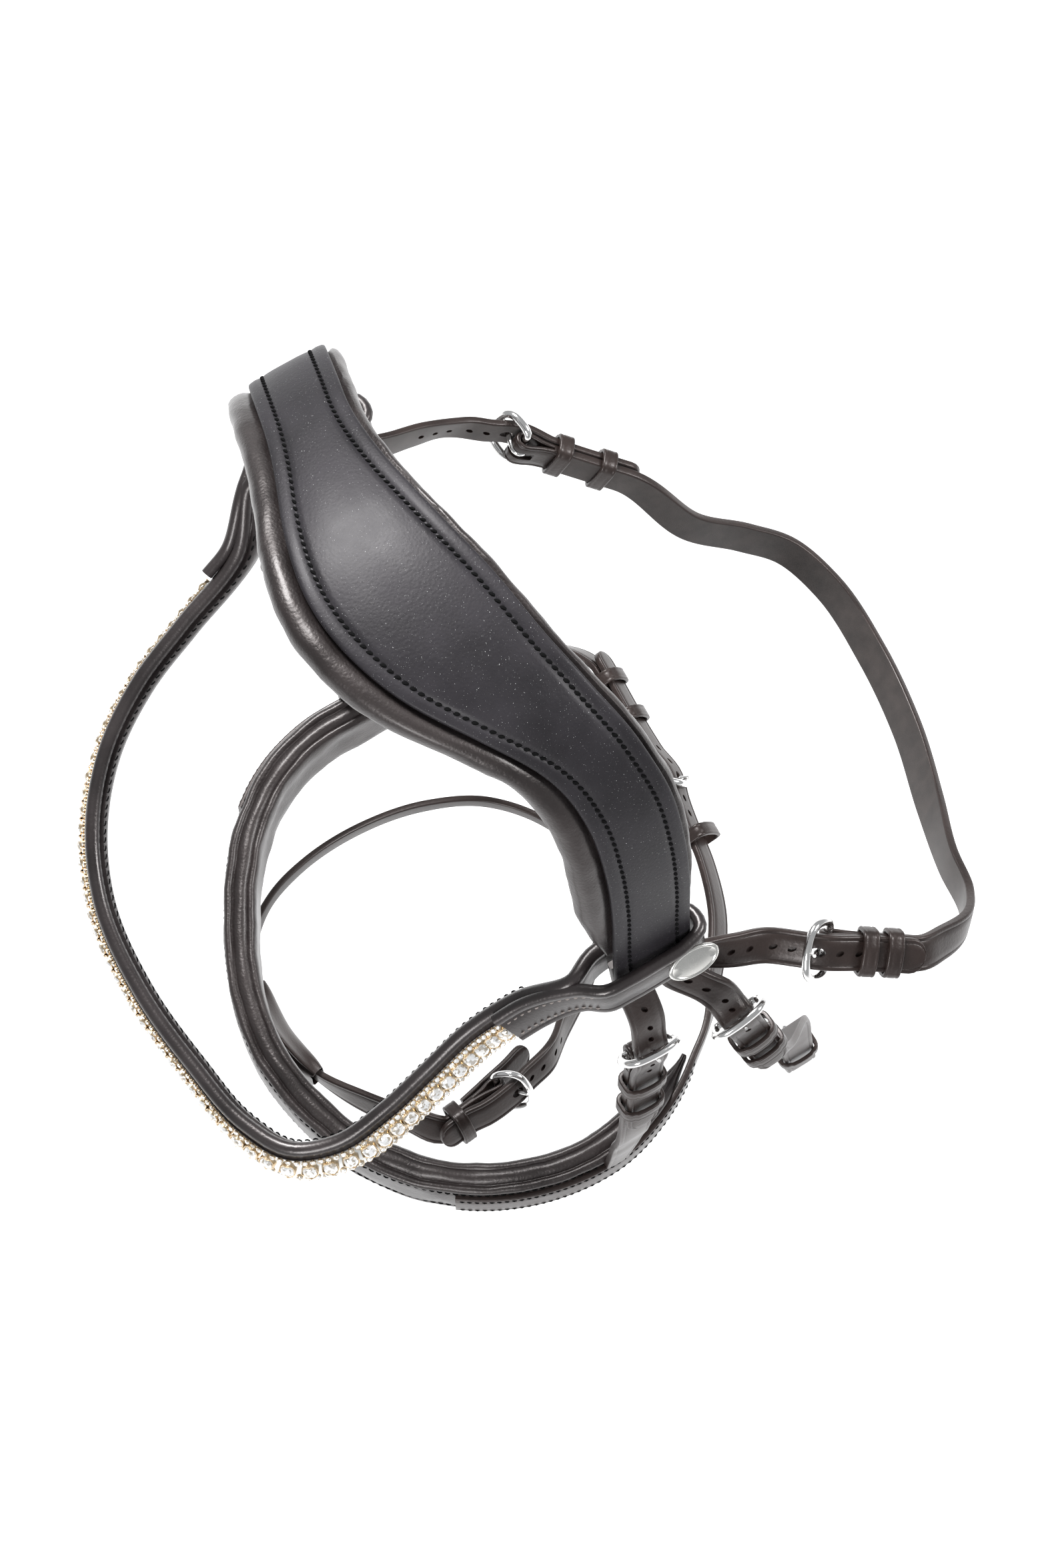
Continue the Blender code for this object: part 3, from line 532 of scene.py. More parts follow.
def buckle(name, body):
    """Horseshoe frame and tongue, smooth versions of the two metal pieces."""
    place = PLACES[name]
    side = [(0, 0), (0, 7.4), (0.2, 9.4), (2.0, FRAME_HALF), (6.0, FRAME_HALF + 0.5), (9.8, FRAME_HALF - 0.4),
            (12.4, 7.6), (FRAME_REACH, 3.6)]
    outline = side + [(FRAME_REACH, -3.6)] + [(p, -v) for p, v in reversed(side[1:-1])]
    c, s = math.cos(FRAME_TILT), math.sin(FRAME_TILT)
    path = [(place.at(p * c, v, p * s), place.w * c - place.u * s) for p, v in outline]
    frames = route(path, 0.9, closed=True)
    made = sweep(f"{name}_horseshoe", frames, disc(WIRE, 14), [STEEL], closed=True)
    piece(made, body, "metal", f"{name}_buckle")

    turns = [TONGUE_LEAN - math.pi / 2 - math.radians(25.0) * i for i in range(11, -1, -1)]
    bends = [(TONGUE_RING * math.cos(t), TONGUE_RING * math.sin(t)) for t in turns]
    u, w = bends[-1]
    for far in (TONGUE_LENGTH * share for share in (0.35, 0.7, 1.0)):
        bends.append((u + far * math.cos(TONGUE_LEAN), w + far * math.sin(TONGUE_LEAN)))
    frames = route([(place.at(u, 0, w), place.v) for u, w in bends], 0.9)
    outlines = [disc(TONGUE_WIRE - 0.11 * max(0, 6 - left), 12) for left in range(len(frames), 0, -1)]
    piece(sweep(f"{name}_pin", frames, outlines, [STEEL]), f"{name}_tongue", "metal", f"{name}_tongue")


def keeper(name, place, u, body, low=-2.4, high=5.8, half=7.7, width=6.2):
    """A leather band with rounded edges and a raised crease, sewn where it closes."""
    r, rows = 2.3, []
    for cx, cy, first in ((r - half, high - r, 180), (half - r, high - r, 90),
                          (half - r, low + r, 0), (r - half, low + r, -90)):
        for turn in range(5):
            t = math.radians(first - 90 * turn / 4)
            rows.append(((cx + r * math.cos(t), cy + r * math.sin(t)), (math.cos(t), math.sin(t))))
        if first == 180:
            for v in (-0.55, -0.2, 0.2, 0.55):
                rows.append(((half * v, high + 1.1 * (1 - v * v) - 0.15), (v * 0.25, 1.0)))
    w, t = width / 2, 1.6
    section = arc(0.5 - w, t - 0.5, 0.5, 180, 90, 3)
    section += [(1.0 - w, t), (1.4 - w, t - 0.16), (1.9 - w, t - 0.02)]
    section += [(-x, y) for x, y in reversed(section)] + [(w, 0.15), (w - 0.2, 0), (0.2 - w, 0), (-w, 0.15)]
    points = []
    for (a, b), (na, nb) in rows:
        points += [place.at(u + e, a + na * out, b + nb * out) for e, out in section]
    faces = skin(len(section), len(rows), closed=True)
    piece(mesh_object(f"{name}_band", points, faces, [STRAP_LEATHER]), body, "leather", name)


def billet_knots(place, tail):
    """A billet from above its buckle, over the heel bar, to its tail on the strap below."""
    rows = [(24, 1.2, -0.1), (12, 3.6, 0.2), (6, 5.5, 0.15), (0, 6.1, -0.05), (-6, 5.2, -0.2),
            (-11, 4.1, -0.1), (-17, 3.75, 0), (-tail, 3.75, 0)]
    return [place.knot(*row) for row in rows]


def hole_rings(centre, along, normal, halves, slant=0.0, through=False):
    """Cutters for one hole: right through, or a pit from each face with a thin web between."""
    hole, (a, b) = Place(centre, along, normal), halves
    turn = [math.tau * i / 12 for i in range(12)]
    spots = [(a * math.cos(t), b * math.sin(t)) for t in turn]
    c, s = math.cos(math.radians(slant)), math.sin(math.radians(slant))
    levels = [(-4, 4)] if through else [(0.3, 4), (-4, -0.3)]
    return [[[hole.at(x * c - y * s, x * s + y * c, h) for x, y in spots] for h in pair] for pair in levels]


def punch(made, frames, place, holes):
    """The tongue's hole and its neighbours, in line along a billet."""
    marks = lengths(frames)
    centre = place.at(*TONGUE_HOLE)
    at_tongue = min(range(len(frames)), key=lambda i: (frames[i][0] - centre).length)
    prisms = []
    for number in holes:
        if number == 0:
            prisms += hole_rings(centre, place.u, place.w, TONGUE_HOLE_HALF, through=True)
        else:
            want = marks[at_tongue] - number * HOLE_PITCH
            i = min(range(len(marks) - 1), key=lambda n: abs(marks[n] - want))
            prisms += hole_rings(*frames[i][:3], HOLE_HALF, 25.0)
    cut(made, prisms)


def strap(name, frames, body, node, thick=STRAP_THICK, tip=True, outlines=None):
    outlines = outlines or [strap_outline(STRAP_WIDTH, thick) for _ in frames]
    if tip:
        frames, outlines = rounded_tip(list(frames), list(outlines))
    return piece(sweep(name, frames, outlines, [STRAP_LEATHER, FLESH]), body, "leather", node)


def billet(name, start, place, tail, holes, body):
    frames = route(start + billet_knots(place, tail))
    made = strap(name + "_leather", frames, body, name)
    punch(made, frames, place, holes)


def strap_head(place, straight):
    """From just behind the buckle's fold down to the end of the straight run."""
    return [place.knot(u) for u in (-12.6, -20, 8 - straight, -straight)]


def turn_round_bar(name, place, body):
    """The strap's doubled end round the heel bar, slotted for the tongue, sewn behind it."""
    path = [(-21, -0.85), (-13, -0.95), (-7, -1.7), (-3, -2.75), (0.6, -2.95), (2.5, -1.6), (3.0, 0),
            (2.5, 1.6), (0.6, 2.95), (-3, 2.75), (-7, 1.7), (-13, 0.95), (-21, 0.85)]
    spots = [place.at(u, 0, w) for u, w in path]
    ways = [after - before for before, after in zip(spots[:1] + spots, spots[1:] + spots[-1:])]
    frames = route([(here, place.v.cross(way).normalized()) for here, way in zip(spots, ways)], 1.2)
    made = sweep(f"{name}_turn", frames, strap_outline(STRAP_WIDTH - 0.3, 1.9, 1.6, 0.0), [STRAP_LEATHER])
    slot = [place.at(u, v, w) for u, v, w in ((-6, -2.1, -8), (8, -2.1, -8), (8, -2.1, 8), (-6, -2.1, 8))]
    cut(made, [[slot, [p + place.v * 4.2 for p in slot]]])
    piece(made, body, "leather")
    rows = [[(place.at(u, v, 1.95), place.u, place.w, place.v) for u in (-11, -13.6, -16.2, -18.8)]
            for v in (-4.5, 4.5)]
    stitches(f"{name}_turn_stitching", rows, body, length=2.0, radius=0.33)


# ---- the crown

def crown_rows(step):
    """Position, tangent, normal and across on the crown's face, and the distance from its middle."""
    frames = route(knots([(*point, 0, 0, 1) for point in CROWN_LINE]), step)
    marks = lengths(frames)
    middle, back, out = marks[-1] * CROWN_MIDDLE, Vector((0, 1, 0)), []
    for (here, tangent, _, _), mark in zip(frames, marks):
        normal = Vector((tangent.z, 0, -tangent.x)).normalized()
        out.append((here, tangent, normal, back, mark - middle))
    return out


def crown_half(distance):
    """Half the crown leather's width at a distance from its middle."""
    share = min(abs(distance) / CROWN_SHOULDER, 1)
    return CROWN_END_HALF + CROWN_SWELL * (1 + math.cos(math.pi * share)) / 2


def crown():
    rows = crown_rows(3.0)
    outlines = []
    for *_, distance in rows:
        half, body = crown_half(distance), min(1.0, max(0.0, (128 - abs(distance)) / 60))
        front = [(y - half, n) for y, n in (
            (0, -1.7), (0, -1.0), (0.25, -0.45), (0.8, -0.1), (1.5, 0.05), (3.2, 0.25), (4.9, 0.1),
            (5.5, -0.22), (6.0, -0.38), (6.5, -0.22), (7.2, 0.2 + 0.15 * body), (9.0, 0.35 + 0.4 * body))]
        middle = [(half * x, 0.45 + 0.75 * body * (1 - x * x)) for x in (-0.3, -0.1, 0.1, 0.3)]
        rear = [(-y, n) for y, n in reversed(front)]
        under = [(half - 0.5, -CROWN_THICK), (half * 0.4, -CROWN_THICK), (-half * 0.4, -CROWN_THICK),
                 (0.5 - half, -CROWN_THICK)]
        outlines.append(front + middle + rear + under)
    frames = [row[:4] for row in rows]
    made = sweep("crown_top_leather", frames, outlines, [CROWN_LEATHER, FLESH])
    piece(made, "crown", "leather", "crown_leather")

    lines = []
    for side in (-1, 1):
        line = [(here + across * side * (crown_half(distance) - STITCH_INSET) - normal * 0.42, normal)
                for here, _, normal, across, distance in crown_rows(3.1)]
        lines.append([])
        for (before, _), (here, normal), (after, _) in zip(line, line[1:], line[2:]):
            ahead = (after - before).normalized()
            lines[-1].append((here, ahead, normal, normal.cross(ahead)))
    stitches("crown_stitching", lines, "crown", length=2.5, radius=0.74, lean=30.0)


def crown_padding():
    rows = [row for row in crown_rows(3.0) if row[0].z > PAD_END]
    frames, outlines = [], []
    for here, tangent, normal, across, distance in rows:
        ends = (min(abs(rows[0][4]), abs(rows[-1][4])) - abs(distance)) / 40
        full = math.sin(math.pi / 2 * max(0.0, min(1.0, ends)))
        half = crown_half(distance)
        lip, edge, rear = 2 + 9 * full, -half, half + 1 + 3 * full
        top, thick = -CROWN_THICK - 0.4, 4 + 7 * full
        shape = [(edge + 4, top - 0.1), (edge + 0.7, top), (edge - 0.5, top + 0.5 * full),
                 (edge - lip * 0.28, top + 1.9 * full), (edge - lip * 0.56, top + 2.2 * full),
                 (edge - lip * 0.84, top + 0.9 * full), (edge - lip, top - thick * 0.3),
                 (edge - lip * 0.95, top - thick * 0.68), (edge - lip * 0.62, top - thick * 0.96),
                 (edge + 3, top - thick * 1.03), (0, top - thick * 1.06), (half * 0.6, top - thick * 1.03),
                 (rear - 4, top - thick * 0.96), (rear - 0.9, top - thick * 0.78),
                 (rear, top - thick * 0.45), (rear - 0.7, top - thick * 0.1),
                 (rear - 1.8 * full - 0.4, top + 0.6 * full), (half + 0.3, top + 0.1),
                 (half - 4, top - 0.1), (0, top - 0.1)]
        frames.append((here, tangent, normal, across))
        outlines.append(smooth_loop(shape))
    made = sweep("crown_pad", frames, outlines, [PAD_LEATHER], bend=crumple(9.0, 0.45))
    piece(made, "crown", "padding_leather", "crown_padding")


# ---- the browband

def browband():
    """The inner layer with its rolled edge and padded lining, the outer one with the loops."""
    half, down, bead = BROWBAND_HALF, BROWBAND_HEIGHT, BEAD
    path = knots(BROWBAND_LINE)
    band = route(path, 3.0)
    for side, rows in (("left", (6, -6, -18, -29)), ("right", (-29, -18, -6, 6))):
        out, up = Vector(LOOPS[side]["out"]), -Vector(LOOPS[side]["down"])
        inner = [(loop_point(side, -13.6 + 0.02 * max(0, -y - 12) ** 2, y, 1.0) + up * 8.5, out)
                 for y in rows]
        path = inner + path if side == "left" else path + inner
    frames = route(path, 3.0)
    marks = lengths(frames)
    outlines = []
    for mark in marks:
        ends = min(mark, marks[-1] - mark)
        full = max(0.0, min(1.0, (ends - 42) / 22))
        lining = -1.9 - 4.2 * full
        roll = [(-bead + bead * math.cos(math.radians(t)), bead * math.sin(math.radians(t)))
                for t in range(132, -111, -22)]
        body = [(-4.6 + 0.8 * full, -2.5 - 0.5 * full), (-5.2 + 1.9 * full, -2.2 - 2.0 * full),
                (-6.2 + 1.4 * full, lining + 0.5), (-8.5, lining), (-12.5, lining + 0.5 * full),
                (-down + 1.2, -2.0 - 1.2 * full), (-down, -half + 0.9), (-down, -0.5), (0.7 - down, -0.1),
                (-down, 0.3), (-down, half - 0.7), (0.8 - down, half), (-6.3, half)]
        outlines.append(roll + body)
    piece(sweep("browband_body", frames, outlines, [EDGE_LEATHER]), "browband", "leather", "browband")
    line = spaced(frames, 3.3, 62, 62)
    stitches("browband_lining_stitching",
             [[(p + x * -3.35 + n * -4.9, t, (x - n * 0.5).normalized(), -n) for p, t, n, x in line]],
             "browband", length=2.1, radius=0.36, lean=12.0)

    for side, ends in (("left", (4, 0)), ("right", (-5, -1))):
        loop_band(side, [band[i] for i in ends])
        oval(side)
    stones(band)


def loop_band(side, ends):
    """The browband's outer layer: it starts at the stones and makes the loop round the crown."""
    up, sign = -Vector(LOOPS[side]["down"]), -1 if side == "left" else 1
    path = [(here - across * 8.9 + normal * 3.7, across) for here, _, normal, across in ends]
    path += [(loop_point(side, *row), up) for row in LOOP_PATH[1:11]]
    frames = [(here, tangent, up.cross(tangent) * sign, up) for here, tangent, up, _ in route(path, 2.0)]
    a, b, r = 9.3, 1.3, 0.8
    roll = [(a - 2.5 + 2.5 * math.cos(t), 0.7 + 2.5 * math.sin(t))
            for t in (math.radians(d) for d in range(155, -81, -19))]
    section = (arc(r - a, b - r, r, 180, 90, 4) + [(2.6 - a, b), (3.0 - a, b - 0.28), (3.4 - a, b + 0.05)]
               + [(a - 5.6, b + 0.1), (a - 5.2, b - 0.1)] + roll + [(a - 2.9, -b), (0, -b)]
               + arc(r - a, r - b, r, -90, -180, 4))
    piece(sweep(f"browband_loop_{side}", frames, section, [EDGE_LEATHER, LINING]), "browband", "leather")
    rows = [shifted(spaced(frames, 3.1, 3, lengths(frames)[-1] - 38), x, 1.28) for x in (2.6, -5.4)]
    stitches(f"browband_end_stitching_{side}", rows, "browband", finish=PALE_THREAD, length=1.7,
             radius=0.34, lean=0.0)


def gem(points, faces, centre, normal, along, across, radius, turned):
    """A brilliant: table, crown facets, girdle and a flat back."""
    top = len(points)
    mid, rim, back = top + 8, top + 16, top + 32
    rings = ((0.52, 0.50, 8, 0.5), (0.84, 0.33, 8, 0.0), (1.0, 0.05, 16, 0.0), (0.95, -0.20, 16, 0.0))
    for share, height, sides, start in rings:
        for i in range(sides):
            t = math.tau * (i + start) / sides + turned
            points.append(centre + along * radius * share * math.cos(t)
                          + across * radius * share * math.sin(t) + normal * radius * height)
    faces.append(tuple(range(top, mid)))
    for i in range(8):
        j, k = (i + 1) % 8, 2 * i + 1
        faces += [(top + i, mid + j, top + j), (top + i, mid + i, mid + j), (mid + i, rim + 2 * i, rim + k),
                  (mid + i, rim + k, mid + j), (mid + j, rim + k, rim + (k + 1) % 16)]
    for i in range(16):
        j = (i + 1) % 16
        faces.append((rim + i, back + i, back + j, rim + j))
    faces.append(tuple(range(back, back + 16))[::-1])


def stones(frames):
    """One row of large stones between two rows of small ones, in gold settings."""
    marks = lengths(frames)
    start, end = marks[-1] * STONES_START, marks[-1] * STONES_END
    half, middle, edge = BROWBAND_HALF, -11.1, 3.95
    strip = [row for row, mark in zip(frames, marks) if start < mark < marks[-1] - end]
    back = [(middle - 5.0, half + 0.3), (middle - 5.0, half + 0.8), (middle - 2.9, half + 1.0),
            (middle + 2.9, half + 1.0), (middle + 5.0, half + 0.8), (middle + 5.0, half + 0.3)]
    piece(sweep("stone_backing", strip, back, [FOIL]), "browband", "crystal", "crystal_strip")

    points, faces, cups, cup_faces = [], [], [], []
    ring = ((1.0, -0.62), (1.12, -0.62), (1.16, 0.12), (1.02, 0.12))
    rows = [(0.0, 2.95, 6.3, 1.75), (edge, 1.12, 2.55, 1.15), (-edge, 1.12, 2.55, 1.15)]
    for offset, radius, pitch, lift in rows:
        line = shifted(spaced(frames, pitch, start + 3, end + 3), middle + offset, half + lift)
        for number, (here, tangent, normal, across) in enumerate(line):
            gem(points, faces, here + normal * 0.1, normal, tangent, across, radius, number * 0.7)
            cup_faces += skin(len(ring), 12, len(cups), closed=True)
            for k in range(12):
                t = math.tau * k / 12
                way = tangent * math.cos(t) + across * math.sin(t)
                prong = 0.25 if k % 3 == 0 else 0.0
                for share, height in ring:
                    rise = height + (prong if height > 0 else 0.0)
                    cups.append(here + way * radius * share + normal * radius * rise)
    piece(mesh_object("cut_stones", points, faces, [STONE], flat_faces=True), "browband", "crystal")
    piece(mesh_object("stone_settings", cups, cup_faces, [GOLD]), "browband", "crystal")


def oval(side):
    """A plain domed oval badge with a raised rim."""
    sign = 1 if side == "left" else -1
    place = Place(loop_point(side, 7.6, 12.5, 0.2), (0, 1, 0), (sign * 0.80, 0, 0.6))
    rings = ((1.0, 0.2), (1.02, 0.9), (0.98, 1.45), (0.92, 1.6), (0.87, 1.45), (0.84, 1.2), (0.6, 1.45),
             (0.3, 1.6), (0.05, 1.65))
    points, sides = [], 40
    for share, height in rings:
        for i in range(sides):
            t = math.tau * i / sides
            points.append(place.at(10.3 * share * math.cos(t), 6.2 * share * math.sin(t), height))
    made = mesh_object(f"oval_{side}", points, skin(sides, len(rings)), [BADGE])
    piece(made, "browband", "metal", f"badge_{side}")


# ---- hangers and cheekpieces

def top_of_billet(side, backward, layer, first, last):
    """A billet's start in the loop: in the crown leather's layer, or in the one under it."""
    depth = -CROWN_THICK / 2 if layer == 0 else -CROWN_THICK - LAYER_GAP - STRAP_THICK / 2
    return [loop_knot(side, depth, backward, down) for down in (first, last)]


def hanger(side):
    name, body = f"hanger_{side}", "noseband"
    place = PLACES[name]
    start = top_of_billet(side, -8.0, 1, -4, 14)
    billet(f"{name}_billet", start, place, 58, (-2, -1, 0, 1, 2, 3, 4, 5), body)
    buckle(name, body)
    sign = 1 if side == "left" else -1
    x, y = (130.6, 9) if side == "left" else (-109.4, 17)
    outward = Vector((sign, 0, 0))
    path = strap_head(place, 62) + [(Vector((x + sign * 5, y, -320)), outward),
                                    (Vector((x, y, -378)), outward)]
    frames = route(path)
    total = lengths(frames)[-1]
    outlines = tapered(frames, total - 70, total - 5, STRAP_WIDTH, 11.0, FOLD_THICK)
    strap(name + "_run", frames, body, name + "_strap", outlines=outlines, tip=False)
    turn_round_bar(name, place, body)
    keeper(f"{name}_fixed_keeper", place, -26, body)
    keeper(f"{name}_runner", place, -46, f"{name}_runner")


def cheekpiece(side):
    name, body = f"cheek_{side}", f"cheekpiece_{side}"
    place = PLACES[name]
    start = top_of_billet(side, 7.5, 0, 11.6, 15)
    billet(f"{name}_billet", start, place, 44, (-1, 0, 1, 2, 3, 4), body)
    buckle(name, body)
    sign = 1 if side == "left" else -1
    spot = (137, 97, -366) if side == "left" else (-121, 76, -366)
    outer = Place(spot, (0, -0.12, 1), (sign, 0, 0))
    turn = []
    for angle in (0, 45, 90, 135, 180):
        a = math.radians(angle)
        away = outer.w * math.cos(a) - outer.u * math.sin(a)
        turn.append((outer.at(0, 0, -6.5) + away * 6.5, away))
    back = [(outer.at(9, 0, -9.0), -outer.w), (outer.at(18, 0, -4.2), -outer.w),
            (outer.at(42, 0, -4.2), -outer.w)]
    path = strap_head(place, 50) + [outer.knot(90), outer.knot(45), outer.knot(18)] + turn + back
    frames = route(path, 2.0)
    strap(name + "_run", frames, body, name + "_strap")
    turn_round_bar(name, place, body)
    keeper(f"{name}_fixed_keeper", place, -21, body)
    keeper(f"{name}_runner", place, -35, f"{name}_runner")
    keeper(f"{name}_bit_keeper", outer, 24, body, low=-6.4, high=2.1, width=7.0)
    hook = [(34, -7.2), (38, -7.4), (39.2, -9.2), (36.5, -10.6), (32, -10.2)]
    frames = route([(outer.at(u, 0, w), outer.v) for u, w in hook], 0.8)
    made = sweep(f"{name}_hook", frames, disc(1.2, 12), [STEEL])
    piece(made, body, "metal", f"{name}_hook_stud")


# ---- noseband

def nose_row(x, y):
    """A knot of the nosepiece's outer face: it looks away from the ring's middle."""
    return Vector((x, y, NOSE_LEVEL)), Vector((x - 8, (y - 10) * 0.9, 0)).normalized()


def tapered(frames, start, end, first, last, thick=STRAP_THICK):
    """Outlines whose width goes smoothly from first to last between two distances."""
    outlines = []
    for mark in lengths(frames):
        share = max(0.0, min(1.0, (mark - start) / (end - start)))
        outlines.append(strap_outline(first + (last - first) * share * share * (3 - 2 * share), thick))
    return outlines


def noseband():
    body = "noseband"
    line = [nose_row(x, y) for x, y in NOSE_LINE]
    frames = route(line, 3.0)[4:]
    top = [(15.0, 1.3), (16.4, 0.3), (16.7, -1.2), (15.8, -2.3), (15.5, -2.8), (16.4, -3.5), (17.4, -5.2),
           (17.5, -7.0), (16.7, -8.7), (16.0, -9.3), (16.5, -10.0), (16.3, -11.4), (14.9, -12.5),
           (11.0, -13.0)]
    face = [(6.0, 1.7), (10.0, 1.4), (12.4, 0.8), (13.2, 0.9)]
    shape = face + top + [(4.0, -12.6), (-4.0, -13.0)] + [(-a, n) for a, n in reversed(face + top)]
    shape = smooth_loop(shape + [(0.0, 1.9)])
    marks = lengths(frames)
    outlines = []
    for mark in marks:
        near = min(1.0, min(mark, marks[-1] - mark) / 32)
        full = near * near * (3 - 2 * near)
        outlines.append([(a * (0.3 + 0.7 * full), (n + 2.0) * (0.16 + 0.84 * full) - 2.0) for a, n in shape])
    made = sweep("nosepiece_pad", frames, outlines, [PAD_LEATHER], bend=crumple(13.0, 0.7))
    piece(made, body, "padding_leather", "nosepiece_padding")
    rows = [shifted(spaced(frames, 3.4, 60, 60), a, 1.05) for a in (12.4, -12.4)]
    stitches("nosepiece_stitching", rows, body, length=2.4, radius=0.4)

    chin = PLACES["chin"]
    laid = [(here + normal * SIDE_LIFT, normal) for here, _, normal, _ in route(line, 12.0)]
    left = [row for row in laid if row[0].x > 0 and row[0].y > -66][::-1]
    left += knots([(78, 92, -396, 0.7, 0.55, 0.45), (57, 107, -399, 0.45, 0.72, 0.52),
                   (34, 115.5, CHIN_LEVEL, 0.22, 0.83, 0.5)])
    right = [row for row in laid if row[0].x < 0 and row[0].y > -52][::-1]
    right = knots([(-89, 110, CHIN_LEVEL, -0.62, 0.7, 0.3), (-102, 87, -396, -0.93, 0.3, 0.12)]) + right

    frames = route(left + billet_knots(chin, 58))
    outlines = tapered(frames, 125, 170, SIDE_HEIGHT, STRAP_WIDTH)
    made = strap("side_strap_left_leather", frames, body, "side_strap_left", outlines=outlines)
    punch(made, frames, chin, (-2, -1, 0, 1, 2))
    rows = [shifted(spaced(frames[:50], 3.2, 3, 2), a, 1.5) for a in (8.6, -8.6)]
    frames = route(strap_head(chin, 58) + right)
    outlines = tapered(frames, 85, 130, STRAP_WIDTH, SIDE_HEIGHT)
    strap("side_strap_right_leather", frames, body, "side_strap_right", outlines=outlines, tip=False)
    rows += [shifted(spaced(frames[-50:], 3.2, 2, 3), a, 1.5) for a in (8.6, -8.6)]
    stitches("side_strap_stitching", rows, body, length=2.3, radius=0.38)
    turn_round_bar("chin", chin, body)
    buckle("chin", body)
    keeper("chin_fixed_keeper", chin, -30, body)
    keeper("chin_runner", chin, -50, "chin_runner")
    keeper("chin_near_keeper", chin, 33, body, low=-3.4, high=6.8, half=8.9)


def flash_loop():
    """The loop under the nosepiece, its sewn flap behind, with a channel for the strap."""
    centre = [(Vector((x, y, FLASH_LEVEL)), Vector((nx, -1, 0)).normalized())
              for x, y, nx in ((24, -79.5, 0.35), (12, -83.2, 0.15), (0, -85, 0.0),
                               (-12, -84.4, -0.12), (-25, -81.6, -0.3))]
    edge = 10.4
    shape = [(-10.0, 2.5), (-9.0, 4.8), (-6.0, 5.4), (0, 5.5), (6.0, 5.4), (9.0, 4.9), (edge, 3.4),
             (11.4, 1.4), (13.5, 0.9), (18.0, 1.9), (23.0, 2.9), (24.2, 2.2), (23.4, 1.2), (18.5, -0.6),
             (14.0, -3.2), (9.5, -5.2), (4.0, -5.9), (-4.0, -5.9), (-8.4, -5.2), (-10.0, -3.2)]
    run = route(centre, 2.5)
    outlines = []
    for i in range(len(run)):
        t = abs(2 * i / (len(run) - 1) - 1)
        flap = 0.12 + 0.88 * (1 - t * t) ** 1.4
        narrow, thin = 1 - 0.14 * t ** 4, 1 - 0.38 * t ** 4
        outlines.append([((a if a < edge else edge + (a - edge) * flap) * narrow, n * thin)
                         for a, n in smooth_loop(shape)])
    made = sweep("nosepiece_flash_loop", run, outlines, [STRAP_LEATHER])
    ends = [(here + (here - near).normalized() * 3, normal)
            for (here, normal), (near, _) in (centre[:2], centre[:-3:-1])]
    long = [ends[0]] + centre + [ends[1]]
    a, b = (STRAP_WIDTH + 2.4) / 2, (STRAP_THICK + 3.6) / 2
    rings = [[here + across * x + normal * y for x, y in ((-a, b), (a, b), (a, -b), (-a, -b))]
             for here, _, normal, across in route(long, 6.0)]
    cut(made, [rings])
    piece(made, "noseband", "leather", "nosepiece_loop")


# ---- flash, throatlash

def flash():
    body, place = "flash_strap", PLACES["flash"]
    rows = [
        (60, -53, -431, 0.65, -0.5, 0.5), (42, -68, -425, 0.45, -0.8, 0.35),
        (21, -80, FLASH_LEVEL, 0.2, -0.97, 0), (0, -85, FLASH_LEVEL, 0.0, -1, 0),
        (-22, -83, FLASH_LEVEL, -0.2, -0.97, 0), (-44, -74, -426, -0.5, -0.85, 0),
        (-60, -58, -436, -0.75, -0.6, 0.1), (-71, -34, -448, -0.95, -0.3, 0.1),
        (-76, -2, -460, -1, 0, 0.1), (-73, 30, -470, -0.95, 0.3, 0.1),
        (-62, 57, -477, -0.75, 0.65, 0.1), (-40, 76, -478, -0.3, 0.95, 0.1),
        (-10, 84, -474, 0.2, 0.97, 0.1), (18, 73, -467, 0.55, 0.8, 0.1),
        (38, 53, -459, 0.75, 0.55, 0.3), (54, 30, -450, 0.8, 0.35, 0.45),
    ]
    tail = [(26, 1.0, -0.1), (12, 3.8, 0.2), (6, 5.5, 0.15), (0, 6.1, -0.05), (-6, 6.4, -0.1),
            (-12, 5.9, -0.1), (-18, 4.2, -0.1), (-24, 3.8, 0), (-29, 3.9, 0)]
    frames = route(strap_head(place, 29) + knots(rows) + [place.knot(*row) for row in tail])
    made = strap("flash_run", frames, body, "flash_strap")
    punch(made, frames, place, (0, 1, 2, 3, 4))
    turn_round_bar("flash", place, body)
    buckle("flash", body)
    keeper("flash_keeper", place, -23, body, low=-4.2, high=6.2)
    guard = [place.knot(-17, -3.3), place.knot(-9, -4.6, -0.1), place.knot(0, -6.2, -0.1),
             place.knot(9, -7.6, -0.2), place.knot(17, -9.8, -0.3)]
    strap("flash_guard", route(guard, 2.0), body, "flash_guard_tab", thick=2.0)


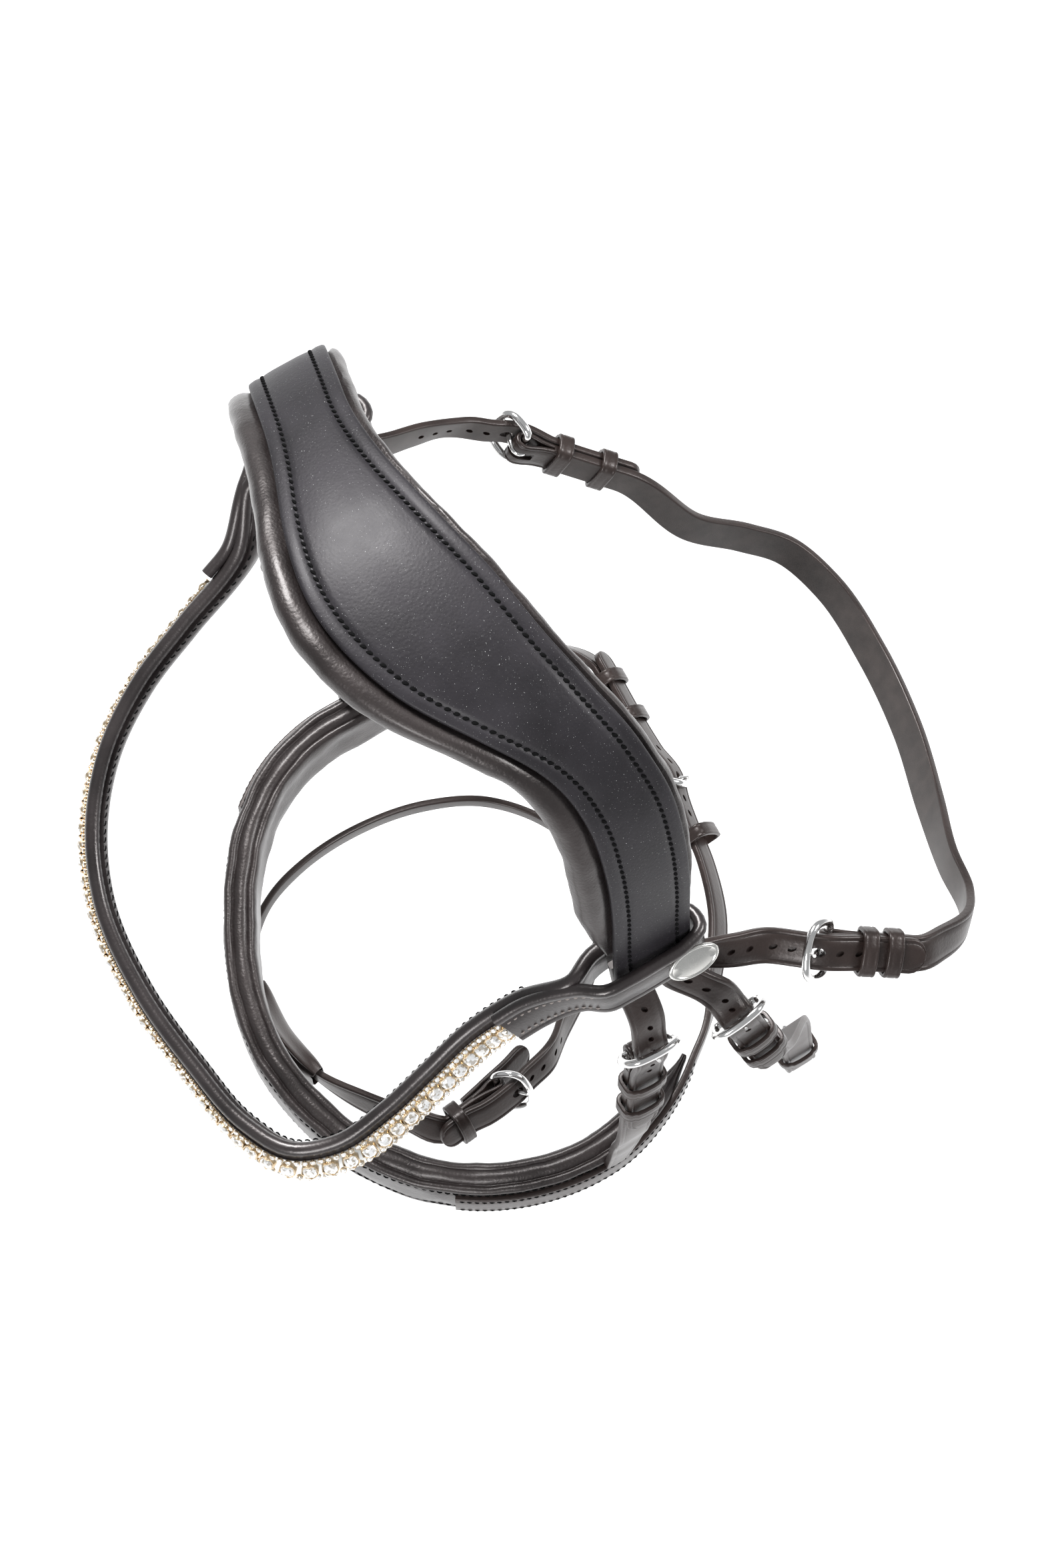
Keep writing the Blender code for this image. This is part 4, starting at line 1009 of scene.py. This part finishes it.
def throatlash():
    body = "throatlash"
    turns = {
        "left": [(116.2, 43.5, -142, 0.93, -0.1, 0.3), (122, 60, -150, 0.7, -0.1, 0.7)],
        "right": [(-116.5, 46, -138, -0.97, 0.1, -0.2), (-117, 64, -149, -0.93, 0.3, -0.2)],
    }
    for side, tail, gaps in (("left", 32, (-15, -25)), ("right", 46, (-17, -36))):
        name = f"throat_{side}"
        place = PLACES[name]
        start = top_of_billet(side, 9.0, 1, -4, 12) + knots(turns[side])
        billet(f"{name}_billet", start, place, tail, (-2, -1, 0, 1, 2, 3, 4, 5), body)
        buckle(name, body)
        keeper(f"{name}_fixed_keeper", place, gaps[0], body, high=6.3)
        keeper(f"{name}_runner", place, gaps[1], f"{name}_runner")
        turn_round_bar(name, place, body)
    rows = [
        (155, 134, -177, 0.7, 0.2, 0.65), (152, 147, -188, 0.8, 0.55, 0.2),
        (142, 157, -202, 0.45, 0.85, -0.2), (122, 163, -215, 0.2, 0.85, -0.45),
        (95, 174, -232, 0.0, 0.72, -0.7), (60, 187, -247, 0.0, 0.7, -0.7),
        (24, 194, -255, 0.0, 0.7, -0.7), (-9, 194, -254, 0.0, 0.75, -0.65),
        (-29, 186, -246, -0.3, 0.7, -0.6), (-40, 171, -234, -0.5, 0.6, -0.6),
        (-50, 151, -217, -0.7, 0.5, -0.5),
    ]
    head, foot = strap_head(PLACES["throat_left"], 36), strap_head(PLACES["throat_right"], 46)[::-1]
    frames = route(head + knots(rows) + foot)
    strap("throatlash_run", frames, body, "throatlash_strap", thick=FOLD_THICK, tip=False)


# ---- the studio

def floor_finish():
    made = Finish("floor_finish", (0.92, 0.92, 0.92), 0.8)
    made.paint(Base_Color=made.mix(made.noise(9.0, 2.0), (0.90, 0.90, 0.90), (0.93, 0.93, 0.93)))
    return made.material


def studio():
    """A white floor well below, an even white room and three soft lamps."""
    level, far = CAD_BOX[0].z / MM - FLOOR_DROP, 4000
    corners = [(x, y, level) for x, y in ((-far, -far), (far, -far), (far, far), (-far, far))]
    floor = mesh_object("floor", corners, [(0, 1, 2, 3)], [floor_finish()])
    world = bpy.data.worlds.new("studio")
    bpy.context.scene.world = world
    world.use_nodes = True
    sky = world.node_tree.nodes["Background"]
    sky.inputs["Color"].default_value = (0.96, 0.98, 1.0, 1)
    sky.inputs["Strength"].default_value = 0.42
    target = Vector((0.0, 0.02, -0.18))
    for name, spot, size, power in (("key", (-1.2, 0.2, 1.2), 0.6, 54), ("fill", (1.1, -1.1, 0.7), 0.6, 21),
                                    ("rim", (0.5, 1.5, 0.9), 0.5, 22)):
        light = bpy.data.lights.new(name, "AREA")
        light.shape, light.size, light.energy = "SQUARE", size, power
        lamp = bpy.data.objects.new(name, light)
        lamp.location = spot
        lamp.rotation_euler = (target - Vector(spot)).to_track_quat("-Z", "Y").to_euler()
        bpy.context.scene.collection.objects.link(lamp)
    bpy.context.scene.view_settings.view_transform = "Standard"


def camera():
    azimuth, elevation = (math.radians(turn) for turn in CAMERA_VIEW)
    back = Vector((math.sin(azimuth) * math.cos(elevation), -math.cos(azimuth) * math.cos(elevation),
                   math.sin(elevation)))
    data = bpy.data.cameras.new("camera")
    data.sensor_width, data.lens = 36.0, 87.28
    made = bpy.data.objects.new("camera", data)
    made.location = Vector(CAMERA_TARGET) + back * CAMERA_AWAY
    made.rotation_euler = (-back).to_track_quat("-Z", "Y").to_euler()
    bpy.context.scene.collection.objects.link(made)
    bpy.context.scene.camera = made


crown()
crown_padding()
browband()
for _side in ("left", "right"):
    hanger(_side)
    cheekpiece(_side)
noseband()
flash_loop()
flash()
throatlash()
studio()
camera()
